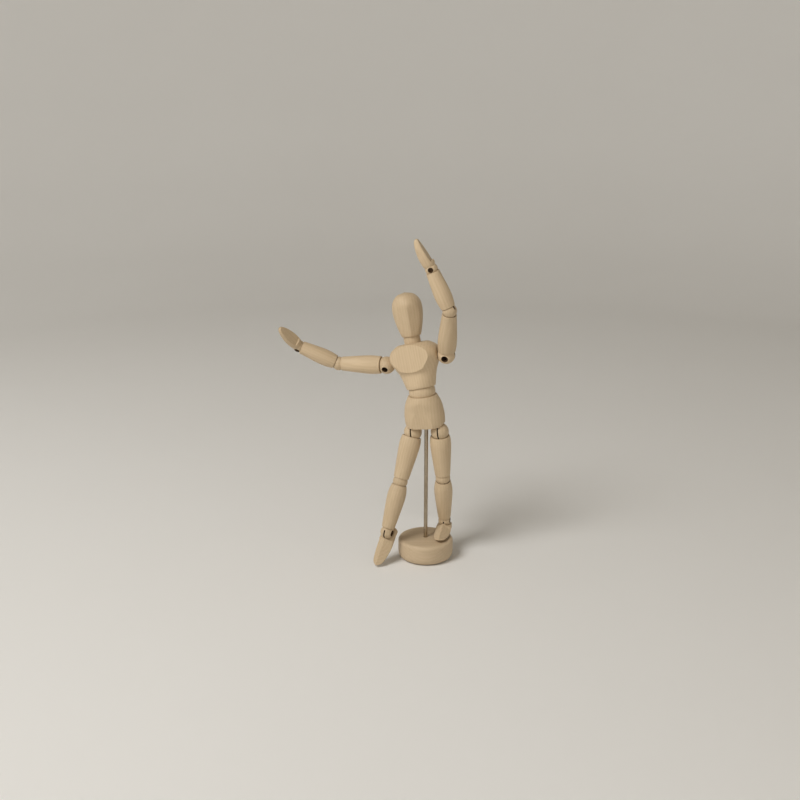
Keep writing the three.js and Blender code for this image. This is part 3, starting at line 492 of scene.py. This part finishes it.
def kerf(axis, up, least, most, reach):
    """A fan-shaped saw cut for a wire that hinges about X or Y at the centre of a ball."""
    angles = np.radians(np.linspace(least, most, CUT_STEPS))
    rim = [(reach * math.sin(a), up * reach * math.cos(a)) for a in angles]
    return prism([(0.0, 0.0), *rim], axis, KERF / 2, INSIDE_SLOT)


def planed(obj, at, normal):
    """Takes off everything beyond a plane and leaves a crisp flat."""
    shape = bmesh.new()
    shape.from_mesh(obj.data)
    every = [*shape.verts, *shape.edges, *shape.faces]
    place, facing = Vector(at) * MM, Vector(normal)
    cut = bmesh.ops.bisect_plane(
        shape, geom=every, dist=PLANE_SLACK, plane_co=place, plane_no=facing, clear_outer=True)
    loop = [part for part in cut["geom_cut"] if isinstance(part, bmesh.types.BMEdge)]
    bmesh.ops.edgeloop_fill(shape, edges=loop, mat_nr=FLAT_SLOT)
    bmesh.ops.recalc_face_normals(shape, faces=shape.faces)
    shape.to_mesh(obj.data)
    shape.free()
    return obj


def bored(obj, start, stop, radius=SPRING_BORE):
    return combine(obj, bar_tool("bore", radius, start, stop))


# Where each piece sits

joints = {joint["name"]: joint for joint in frame["joints"]}


def axis_of(name):
    return Vector(joints[name]["axis"]).normalized()


def place_of(name):
    return Vector(joints[name]["pos_m"])


def frame_at(origin, x=None, y=None, z=None):
    """The matrix of a piece from its origin and two axes; x, or else z, is kept as it is given."""
    if z is None:
        z = x.cross(y)
    elif x is None:
        x = y.cross(z)
    z = z.normalized()
    x = x.normalized()
    y = z.cross(x).normalized()
    z = x.cross(y).normalized()
    matrix = Matrix((x, y, z)).transposed().to_4x4()
    matrix.translation = origin
    return matrix


def corners_of(node):
    return [vertex.co.copy() for vertex in frame["nodes"][node].data.vertices]


def square_to(direction, axis):
    return (direction - axis * direction.dot(axis)).normalized()


def hand_up(node, wrist, hinge):
    """The hand's own +Z: away from its fingertips, square to the wrist's hinge."""
    reach = max((corner - wrist).length for corner in corners_of(node))
    arms = [corner - wrist for corner in corners_of(node)]
    tips = [arm for arm in arms if arm.length > TIP_SHARE * reach]
    return square_to(-sum(tips, Vector()), hinge)


def sole_up(node, hinge):
    """The foot's own +Z: opposite to its largest flat that is level across the ankle's hinge."""
    areas = {}
    for face in frame["nodes"][node].data.polygons:
        if abs(face.normal.dot(hinge)) < LEVEL_SLACK:
            key = tuple(round(c, 2) for c in face.normal)
            areas[key] = areas.get(key, 0.0) + face.area
    return square_to(-Vector(max(areas, key=areas.get)), hinge)


def settle(obj, node, matrix, cover=None):
    """Shades the finished piece, sets it in place and lets it stand for its CAD node."""
    mesh = obj.data
    if cover is not None:
        mesh.materials[OUTSIDE_SLOT] = cover
    shape = bmesh.new()
    shape.from_mesh(mesh)
    bmesh.ops.remove_doubles(shape, verts=shape.verts, dist=WELD)
    bmesh.ops.dissolve_degenerate(shape, edges=shape.edges, dist=WELD)
    for face in shape.faces:
        face.smooth = True
    for edge in shape.edges:
        sides = {face.material_index for face in edge.link_faces}
        beside_flat = len(sides) > 1 and FLAT_SLOT in sides
        edge.smooth = not beside_flat and edge.calc_face_angle(0.0) < SHARP_ANGLE
    shape.to_mesh(mesh)
    shape.free()
    obj.matrix_world = matrix
    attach(obj, frame["nodes"][node]["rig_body"])
    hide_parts(node)


# Turned pieces

def socket_arc(radius, height, rim_drop, up):
    """The inner face of a socket from the spring bore to its rim; up is 1 above a ball, -1 below."""
    hollow = radius + GAP
    line = arc(hollow, 0.0, math.asin(SPRING_BORE / hollow), math.acos(rim_drop / hollow), SOCKET_STEPS)
    line[:, 1] = height + up * line[:, 1]
    return line


def limb(name, length, top, bottom, belly, belly_at):
    """A turned limb with a socket at each end and a spring bore right through."""
    upper = socket_arc(top[0], 0.0, top[1], -1)
    lower = socket_arc(bottom[0], -length, bottom[1], 1)[::-1]
    ends = (top[2], -top[1]), (bottom[2], bottom[1] - length)
    skin = spline([ends[0], (belly, -belly_at), ends[1]], LIMB_STEPS)
    sections = [
        upper,
        [upper[-1], skin[0]],
        skin,
        [skin[-1], lower[0]],
        lower,
        [lower[-1], upper[0]],
    ]
    profile, owners = rounded(sections, LIMB_ROUNDS, closed=True)
    sockets_and_bore = (0, 4, 5)
    verts, faces, slots = revolved(profile, owners, inside=sockets_and_bore, closed=True)
    return made(name, verts, faces, slots)


QUARTER = math.radians(90)
ALONG_X = Matrix.Rotation(QUARTER, 4, "Y")
ALONG_Y = Matrix.Rotation(-QUARTER, 4, "X")


def drilled_ball(name, radius, hole, turn):
    """A turned ball with a hole through it and softened hole edges."""
    mouth = math.asin(hole / radius)
    skin = arc(radius, 0.0, mouth, math.pi - mouth, BALL_STEPS)
    wall = [skin[-1], skin[0]]
    profile, owners = rounded([skin, wall], [HOLE_ROUND, HOLE_ROUND], closed=True)
    verts, faces, slots = revolved(profile, owners, inside=(1,), closed=True)
    return made(name, verts, faces, slots, turn)


def plain_ball(name, radius):
    """A turned ball with a hidden pocket in the middle for the springs' hooked ends."""
    profile = arc(radius, 0.0, math.pi, 0.0, BALL_STEPS)
    verts, faces, slots = revolved(profile, [0] * len(profile))
    return combine(made(name, verts, faces, slots), ball_tool("pocket", BEAD_POCKET, (0, 0, 0)))


def wired(ball, cut):
    """Saws the slot for a wire that hinges below the ball and drills a port for one from above."""
    combine(ball, kerf("X", -1, *cut))
    return bored(ball, (0, 0, 0), (0, 0, cut[2]), WIRE_PORT)


def shares(low, high, half, low_radius, high_radius, rows):
    """A smooth outline through shares of the height and of the half width."""
    inner = [(share * half, low + at * (high - low)) for at, share in rows]
    return spline([(low_radius, low), *inner, (high_radius, high)], TRUNK_STEPS)


def smoothstep(value, low, high):
    t = np.clip((value - low) / (high - low), 0.0, 1.0)
    return t * t * (3 - 2 * t)


def pelvis(name, rod_up):
    low, high = PELVIS_FOOT, WAIST_RISE - WAIST_RIM
    foot_radius = PELVIS_FOOT_SHARE * PELVIS_HALF
    skin = shares(low, high, PELVIS_HALF, foot_radius, WAIST_RIM_RADIUS, PELVIS_OUTLINE)
    hollow = WAIST_BALL + GAP
    seat = arc(hollow, WAIST_RISE, math.pi - math.acos(WAIST_RIM / hollow), math.pi, SEAT_STEPS)
    underside = np.column_stack((np.linspace(0.0, skin[0][0], FLAT_STEPS), np.full(FLAT_STEPS, low)))
    profile, owners = rounded([underside, skin, [skin[-1], seat[0]], seat], PELVIS_ROUNDS)
    share = (profile[:, 1] - low) / (high - low)
    outer = PELVIS_OVAL + (1.0 - PELVIS_OVAL) * smoothstep(share, PELVIS_OVAL_SHARE, 1.0)
    underside_and_skin = (0, 1)
    ratios = [outer[i] if owner in underside_and_skin else 1.0 for i, owner in enumerate(owners)]
    verts, faces, slots = revolved(profile, owners, ratios=ratios, count=FINE)
    block = made(name, verts, faces, slots)
    planed(block, (0, -PELVIS_FACET_AT, low), (0, -PELVIS_FACET_RISE, -PELVIS_FACET_CUT))
    for side in (-1, 1):
        planed(block, (side * PELVIS_CHAMFER_X, 0, low), (side, 0, -1))
    for side in (-1, 1):
        combine(block, ball_tool("hip_seat", HIP_BALL + GAP, (side * HIP_X, 0, 0)))
        bored(block, (side * HIP_X, 0, 0), (side * HIP_X, 0, HIP_BORE_TOP))
    bored(block, (0, 0, WAIST_BORE_FOOT), (0, 0, WAIST_RISE))
    return bored(block, rod_up * ROD_SOCKET_FOOT, rod_up * ROD_SOCKET_TOP, ROD_RADIUS + ROD_GAP)


def chest(name):
    low, high, half = WAIST_RIM, NECK_RISE - NECK_RIM, CHEST_HALF
    skin = shares(low, high, half, WAIST_RIM_RADIUS, CHEST_TOP_SHARE * half, CHEST_OUTLINE)
    waist_hollow, neck_hollow = WAIST_BALL + GAP, NECK_BALL + GAP
    seat = arc(waist_hollow, 0.0, 0.0, math.acos(low / waist_hollow), SEAT_STEPS)
    rim_turn = math.pi - math.acos(NECK_RIM / neck_hollow)
    neck_seat = arc(neck_hollow, NECK_RISE, rim_turn, math.pi, SEAT_STEPS)
    top = np.linspace(skin[-1], neck_seat[0], COLLAR_STEPS)
    profile, owners = rounded([seat, [seat[-1], skin[0]], skin, top, neck_seat], CHEST_ROUNDS)
    share = np.clip((profile[:, 1] - low) / (high - low), 0.0, 1.0)
    abdomen = 1.0 - ABDOMEN_DRAW * smoothstep(share, 0.0, BIB_FOOT_SHARE)
    outer = abdomen + (1.0 - abdomen) * smoothstep(share, BIB_FOOT_SHARE, BIB_EDGE_SHARE)
    rim = neck_seat[0][0]
    inward = np.clip((profile[:, 0] - rim) / (skin[-1][0] - rim), 0.0, 1.0)
    both_seats, top_section = (0, 4), 3
    ratios = []
    for i, owner in enumerate(owners):
        if owner in both_seats:
            ratios.append(1.0)
        elif owner == top_section:
            ratios.append(1.0 + (outer[i] - 1.0) * inward[i])
        else:
            ratios.append(outer[i])
    verts, faces, slots = revolved(profile, owners, ratios=ratios, count=FINE)
    block = made(name, verts, faces, slots)
    for side in (-1, 1):
        planed(block, (0, side * CHEST_FLAT_Y, 0), (0, side, 0))
        planed(block, (side * CHEST_FLAT_X, 0, 0), (side, 0, 0))
    bored(block, (0, 0, 0), (0, 0, SPINE_BORE_TOP))
    bored(block, (0, 0, NECK_BORE_FOOT), (0, 0, NECK_RISE))
    bored(block, (-half, 0, SHOULDER_RISE), (half, 0, SHOULDER_RISE))
    for side in (-1, 1):
        combine(block, ball_tool("arm_seat", SHOULDER_BALL + GAP, (side * SHOULDER_X, 0, SHOULDER_RISE)))
    return block


def neck(name):
    edge = math.asin(NECK_BARREL / NECK_BALL)
    bottom = arc(NECK_BALL, 0.0, math.pi, math.pi - edge, SEAT_STEPS)
    top = arc(NECK_BALL, 0.0, edge, 0.0, SEAT_STEPS)
    side = np.linspace(bottom[-1], top[0], BARREL_STEPS)
    profile, owners = rounded([bottom, side, top], NECK_ROUNDS)
    verts, faces, slots = revolved(profile, owners)
    post = combine(made(name, verts, faces, slots), ball_tool("pocket", BEAD_POCKET, (0, 0, 0)))
    combine(post, kerf("X", -1, *NECK_CUT))
    return combine(post, kerf("Y", 1, *NECK_CUT))


def head(name):
    skin = shares(HEAD_RIM, HEAD_TOP, HEAD_HALF, HEAD_RIM_RADIUS, 0.0, HEAD_OUTLINE)
    hollow = NECK_BALL + GAP
    seat = arc(hollow, 0.0, 0.0, math.acos(HEAD_RIM / hollow), SEAT_STEPS)
    skin[-1, 0] = 0.0
    profile, owners = rounded([seat, [seat[-1], skin[0]], skin], HEAD_ROUNDS)
    ratios = [1.0 if owner == 0 else HEAD_DEPTH_RATIO for owner in owners]
    verts, faces, slots = revolved(profile, owners, ratios=ratios, count=FINE)
    ridge = (BROW - CHIN).normalized()
    outward = Vector((1, 0, 0)).cross(ridge).normalized()
    for side in (-1, 1):
        normal = Matrix.Rotation(side * FACE_ANGLE, 3, ridge) @ outward
        verts = soft_clamp(verts, CHIN, normal, FACE_SOFTNESS)
    return bored(made(name, verts, faces, slots), (0, 0, 0), (0, 0, HEAD_BORE_TOP))


# Hands and feet

def loft(name, rings):
    """A closed skin over rings of equal length."""
    count = len(rings[0])
    verts = np.vstack(rings)
    faces = []
    for row in range(len(rings) - 1):
        for k in range(count):
            n = (k + 1) % count
            faces.append((row * count + k, row * count + n, (row + 1) * count + n, (row + 1) * count + k))
    faces.append(tuple(range(count)))
    faces.append(tuple(range(len(verts) - count, len(verts))))
    return made(name, verts, faces)


def hand(name):
    """A turned bullet on the wrist ball, with one flat for the palm and a saw cut for the wire."""
    sides = [(share * HAND_BELLY, -at * HAND_LENGTH) for at, share in HAND_OUTLINE]
    skin = spline([*sides, (0.0, -HAND_LENGTH)], HAND_STEPS)
    profile = np.vstack(((0.0, skin[0][1]), skin))
    verts, faces, slots = revolved(profile, [0] * len(profile))
    palm = plain_ball(name, WRIST_BALL)
    combine(palm, made("bullet", verts, faces, slots), "UNION")
    for side in (-1, 1):
        bored(palm, (side * WRIST_WEB, 0, 0), (side * 2 * WRIST_BALL, 0, 0), WRIST_HOLE)
    wide = 2 * HAND_BELLY
    flat = [
        (PALM_ROOT, -PALM_LEDGE), (wide, -PALM_LEDGE),
        (wide, -HAND_LENGTH), (PALM_TIP, -HAND_LENGTH)]
    combine(palm, prism(flat, "X", wide, FLAT_SLOT))
    return combine(palm, kerf("X", 1, *WRIST_CUT))


def foot(name):
    """A wedge-shaped foot with a ridge down its top, a round toe and a seat for the ankle ball."""
    sides = [(width * FOOT_HALF, at * (HEEL_REACH if at > 0 else TOE_REACH)) for width, at in FOOT_PLAN]
    plan = spline([(0.0, HEEL_REACH), *sides, (0.0, -TOE_REACH)], PLAN_STEPS)
    along = np.linspace(FOOT_END_SHARE, 1 - FOOT_END_SHARE, FOOT_STATIONS)
    share = (1 - np.cos(along * math.pi)) / 2
    stations = HEEL_REACH - share * (HEEL_REACH + TOE_REACH)
    seat = math.sqrt((ANKLE_BALL + GAP) ** 2 - FOOT_SEAT**2)
    ridge = np.array([
        (-TOE_REACH, -TOE_TOP_DROP), (-seat - COLLAR, -INSTEP_DROP),
        (-seat - COLLAR / 2, -INSTEP_DROP - COLLAR), (-seat + SEAT_EDGE, -FOOT_SEAT),
        (seat - COLLAR / 2, -FOOT_SEAT), (HEEL_REACH, -FOOT_SEAT - HEEL_SLOPE)])
    sole = np.array([
        (-TOE_REACH, TOE_SPRING), (-SOLE_BEND_SHARE * TOE_REACH, SOLE_BEND),
        (-SOLE_FLAT_SHARE * TOE_REACH, 0.0), (HEEL_REACH, 0.0)])
    rings = []
    for y in stations:
        half = max(np.interp(-y, -plan[:, 1], plan[:, 0]), LEAST_FOOT_HALF)
        crest = np.interp(y, ridge[:, 0], ridge[:, 1])
        floor = np.interp(y, sole[:, 0], sole[:, 1]) - ANKLE_HEIGHT
        steepness = smoothstep(-y, seat - ROOF_BEFORE, seat + ROOF_AFTER)
        fall = COLLAR_FALL + (ROOF_FALL - COLLAR_FALL) * steepness
        eave = max(crest - fall * half, floor + LEAST_FOOT_SIDE)
        corners = [(half, floor), (half, eave), (0.0, crest), (-half, eave), (-half, floor)]
        sections = list(zip(corners, corners[1:] + corners[:1]))
        outline, _ = rounded(sections, FOOT_ROUNDS, closed=True)
        rings.append(np.column_stack((outline[:, 0], np.full(len(outline), y), outline[:, 1])))
    block = combine(loft(name, rings), ball_tool("ankle_seat", ANKLE_BALL + GAP, (0, 0, 0)))
    bored(block, (0, 0, 0), (0, 0, -ANKLE_HEIGHT), WIRE_PORT)
    return bored(block, (0, 0, -ANKLE_BALL - SEAT_WALL), (0, 0, -2 * ANKLE_HEIGHT))


# The stand

def base(name):
    bore, bore_floor = ROD_RADIUS + ROD_GAP, BASE_HEIGHT - ROD_IN_BASE
    disc = [
        [(0.0, 0.0), (BASE_RADIUS, 0.0)],
        np.linspace((BASE_RADIUS, 0.0), (BASE_RADIUS, BASE_HEIGHT), FLAT_STEPS),
        np.linspace((BASE_RADIUS, BASE_HEIGHT), (bore, BASE_HEIGHT), FLAT_STEPS),
        [(bore, BASE_HEIGHT), (bore, bore_floor)],
        [(bore, bore_floor), (0.0, bore_floor)],
    ]
    profile, owners = rounded(disc, BASE_ROUNDS)
    rod_hole = (3, 4)
    verts, faces, slots = revolved(profile, owners, inside=rod_hole, count=FINE)
    return made(name, verts, faces, slots)


def rod(name, foot_at, top_at):
    sections = [
        [(0.0, foot_at), (ROD_RADIUS, foot_at)],
        np.linspace((ROD_RADIUS, foot_at), (ROD_RADIUS, top_at), ROD_STEPS),
        [(ROD_RADIUS, top_at), (0.0, top_at)],
    ]
    profile, owners = rounded(sections, ROD_ROUNDS)
    verts, faces, slots = revolved(profile, owners, count=ROD_SIDES)
    return made(name, verts, faces, slots)


# Assembly

world = Matrix.Identity(4)
settle(base("base_skin"), "base", world, cover=BASE_WOOD)
rod_low, rod_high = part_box("support_rod")
settle(rod("rod_skin", rod_low.z / MM, rod_high.z / MM), "support_rod", world, ROD_STEEL)

hips = (place_of("left_hip_swing") + place_of("right_hip_swing")) / 2
pelvis_at = frame_at(hips, x=axis_of("left_hip_swing"), z=axis_of("waist_turn"))
rod_up = pelvis_at.to_3x3().inverted() @ Vector((0, 0, 1))
settle(pelvis("pelvis_skin", rod_up), "pelvis", pelvis_at)

waist_at = place_of("waist_turn")
waist = plain_ball("waist_skin", WAIST_BALL)
combine(waist, kerf("X", -1, *WAIST_CUT))
combine(waist, kerf("Y", 1, *WAIST_CUT))
settle(waist, "waist", frame_at(waist_at, x=axis_of("waist_bend"), y=axis_of("chest_lean")))
settle(chest("chest_skin"), "chest", frame_at(waist_at, y=axis_of("chest_lean"), z=axis_of("head_turn")))

neck_at = place_of("head_turn")
settle(neck("neck_skin"), "neck", frame_at(neck_at, x=axis_of("head_nod"), y=axis_of("head_tilt")))
crown = max(corners_of("head"), key=lambda corner: (corner - neck_at).length)
tilt = axis_of("head_tilt")
settle(head("head_skin"), "head", frame_at(neck_at, y=tilt, z=square_to(crown - neck_at, tilt)))

for side, outward in (("left", 1), ("right", -1)):
    swing, lift = axis_of(f"{side}_shoulder_swing"), axis_of(f"{side}_arm_raise")
    shoulder_at = place_of(f"{side}_shoulder_swing")
    arm_ball = drilled_ball(f"{side}_shoulder_skin", SHOULDER_BALL, SHOULDER_HOLE, ALONG_Y)
    arm_cut = RIGHT_ARM_CUT if outward < 0 else LEFT_ARM_CUT
    combine(arm_ball, kerf("Y", -1, *arm_cut))
    bored(arm_ball, (0, 0, 0), (-SHOULDER_REACH * outward, 0, 0), WIRE_PORT)
    settle(arm_ball, f"{side}_shoulder_ball", frame_at(shoulder_at, x=swing, y=lift))

    elbow_turn, elbow_bend = axis_of(f"{side}_elbow_turn"), axis_of(f"{side}_elbow_bend")
    upper = limb(f"{side}_upper_arm_skin", UPPER_ARM, SHOULDER_END, ELBOW_END, *UPPER_ARM_BELLY)
    settle(upper, f"{side}_upper_arm", frame_at(shoulder_at, y=lift, z=elbow_turn))

    elbow_at = place_of(f"{side}_elbow_turn")
    elbow = wired(plain_ball(f"{side}_elbow_skin", ELBOW_BALL), ELBOW_CUT)
    settle(elbow, f"{side}_elbow_ball", frame_at(elbow_at, x=elbow_bend, z=elbow_turn))

    wrist_turn, wrist_bend = axis_of(f"{side}_wrist_turn"), axis_of(f"{side}_wrist_bend")
    lower = limb(f"{side}_forearm_skin", FOREARM, ELBOW_END, WRIST_END, *FOREARM_BELLY)
    settle(lower, f"{side}_forearm", frame_at(elbow_at, x=elbow_bend, z=wrist_turn))

    wrist_at = place_of(f"{side}_wrist_turn")
    up = hand_up(f"{side}_hand", wrist_at, wrist_bend)
    settle(hand(f"{side}_hand_skin"), f"{side}_hand", frame_at(wrist_at, x=wrist_bend, z=up))

    hip_swing, leg_raise = axis_of(f"{side}_hip_swing"), axis_of(f"{side}_leg_raise")
    hip_at = place_of(f"{side}_hip_swing")
    hip = plain_ball(f"{side}_hip_skin", HIP_BALL)
    combine(hip, kerf("X", 1, *HIP_SWING_CUT))
    leg_cut = RIGHT_LEG_CUT if outward < 0 else LEFT_LEG_CUT
    combine(hip, kerf("Y", -1, *leg_cut))
    settle(hip, f"{side}_hip_ball", frame_at(hip_at, x=hip_swing, y=leg_raise))

    knee_turn, knee_bend = axis_of(f"{side}_knee_turn"), axis_of(f"{side}_knee_bend")
    thigh = limb(f"{side}_thigh_skin", THIGH, HIP_END, KNEE_END, *THIGH_BELLY)
    settle(thigh, f"{side}_thigh", frame_at(hip_at, y=leg_raise, z=knee_turn))

    knee_at = place_of(f"{side}_knee_turn")
    knee = wired(plain_ball(f"{side}_knee_skin", KNEE_BALL), KNEE_CUT)
    settle(knee, f"{side}_knee_ball", frame_at(knee_at, x=knee_bend, z=knee_turn))

    ankle_turn, ankle_pitch = axis_of(f"{side}_ankle_turn"), axis_of(f"{side}_ankle_pitch")
    shin = limb(f"{side}_shin_skin", SHIN, KNEE_END, ANKLE_END, *SHIN_BELLY)
    settle(shin, f"{side}_shin", frame_at(knee_at, x=knee_bend, z=ankle_turn))

    ankle_at = place_of(f"{side}_ankle_turn")
    ankle = wired(drilled_ball(f"{side}_ankle_skin", ANKLE_BALL, CROSS_HOLE, ALONG_X), ANKLE_CUT)
    settle(ankle, f"{side}_ankle_ball", frame_at(ankle_at, x=ankle_pitch, z=ankle_turn))
    foot_up = sole_up(f"{side}_foot", ankle_pitch)
    settle(foot(f"{side}_foot_skin"), f"{side}_foot", frame_at(ankle_at, x=ankle_pitch, z=foot_up))

for name, node in frame["nodes"].items():
    if name.endswith("_spring"):
        node.data.materials.clear()
        node.data.materials.append(SPRING_STEEL)


# Studio: the paper's sizes in millimetres and its noise per metre, lights and camera in metres
FLOOR_REACH, WALL_HEIGHT, WALL_CURVE = 2600.0, 2400.0, 900.0
PAPER_GRAIN = (1.3, 1.3, 1.3)
PAPER_DARK, PAPER_LIGHT = (0.83, 0.82, 0.8, 1.0), (0.87, 0.865, 0.85, 1.0)
LIT_POINT = (0.0, 0.0, 0.2)
KEY_PLACE, KEY_SIZE, KEY_POWER, KEY_COLOUR = (-1.33, -1.2, 2.05), 1.3, 42.0, (1.0, 0.985, 0.96)
FILL_PLACE, FILL_SIZE, FILL_POWER, FILL_COLOUR = (1.3, -1.0, 0.7), 1.2, 1.2, (1.0, 0.88, 0.7)
WORLD_COLOUR, WORLD_STRENGTH = (1.0, 0.87, 0.66, 1.0), 0.145
CAMERA_PLACE, CAMERA_TILT = (-0.03099, -1.18295, 0.5391), math.radians(73.8914)
CAMERA_LENS, CAMERA_SENSOR = 47.436, 36.0


def studio_floor():
    """A pale floor that curves up into a wall all round."""
    g = Graph("studio_paper")
    at = g.add("TexCoord").outputs["Object"]
    patch = g.noise(at, PAPER_GRAIN, 3.0)
    colour = g.mix(patch, PAPER_DARK, PAPER_LIGHT)
    g.shade(Base_Color=colour, Roughness=0.85, Specular_IOR_Level=0.2)
    sections = [
        np.linspace((0.0, 0.0), (FLOOR_REACH, 0.0), FLAT_STEPS),
        np.linspace((FLOOR_REACH, 0.0), (FLOOR_REACH, WALL_HEIGHT), FLAT_STEPS),
    ]
    profile, owners = rounded(sections, [WALL_CURVE, 0])
    verts, faces, _ = revolved(profile, owners, count=PAPER_SIDES)
    paper = made("studio_paper", verts, faces)
    paper.data.materials.clear()
    paper.data.materials.append(g.material)
    paper.data.polygons.foreach_set("use_smooth", [True] * len(paper.data.polygons))


def soft_light(name, place, size, power, colour):
    data = bpy.data.lights.new(name, "AREA")
    data.shape, data.size, data.energy, data.color = "DISK", size, power, colour
    light = bpy.data.objects.new(name, data)
    light.location = place
    light.rotation_euler = (Vector(LIT_POINT) - Vector(place)).to_track_quat("-Z", "Y").to_euler()
    bpy.context.scene.collection.objects.link(light)


studio_floor()
soft_light("key", KEY_PLACE, KEY_SIZE, KEY_POWER, KEY_COLOUR)
soft_light("fill", FILL_PLACE, FILL_SIZE, FILL_POWER, FILL_COLOUR)

scene = bpy.context.scene
scene.world = bpy.data.worlds.new("studio")
scene.world.use_nodes = True
background = scene.world.node_tree.nodes["Background"]
background.inputs["Color"].default_value = WORLD_COLOUR
background.inputs["Strength"].default_value = WORLD_STRENGTH
scene.view_settings.view_transform = "Standard"

camera_data = bpy.data.cameras.new("camera")
camera_data.lens, camera_data.sensor_width = CAMERA_LENS, CAMERA_SENSOR
camera = bpy.data.objects.new("camera", camera_data)
camera.location = CAMERA_PLACE
camera.rotation_euler = (CAMERA_TILT, 0.0, 0.0)
scene.collection.objects.link(camera)
scene.camera = camera
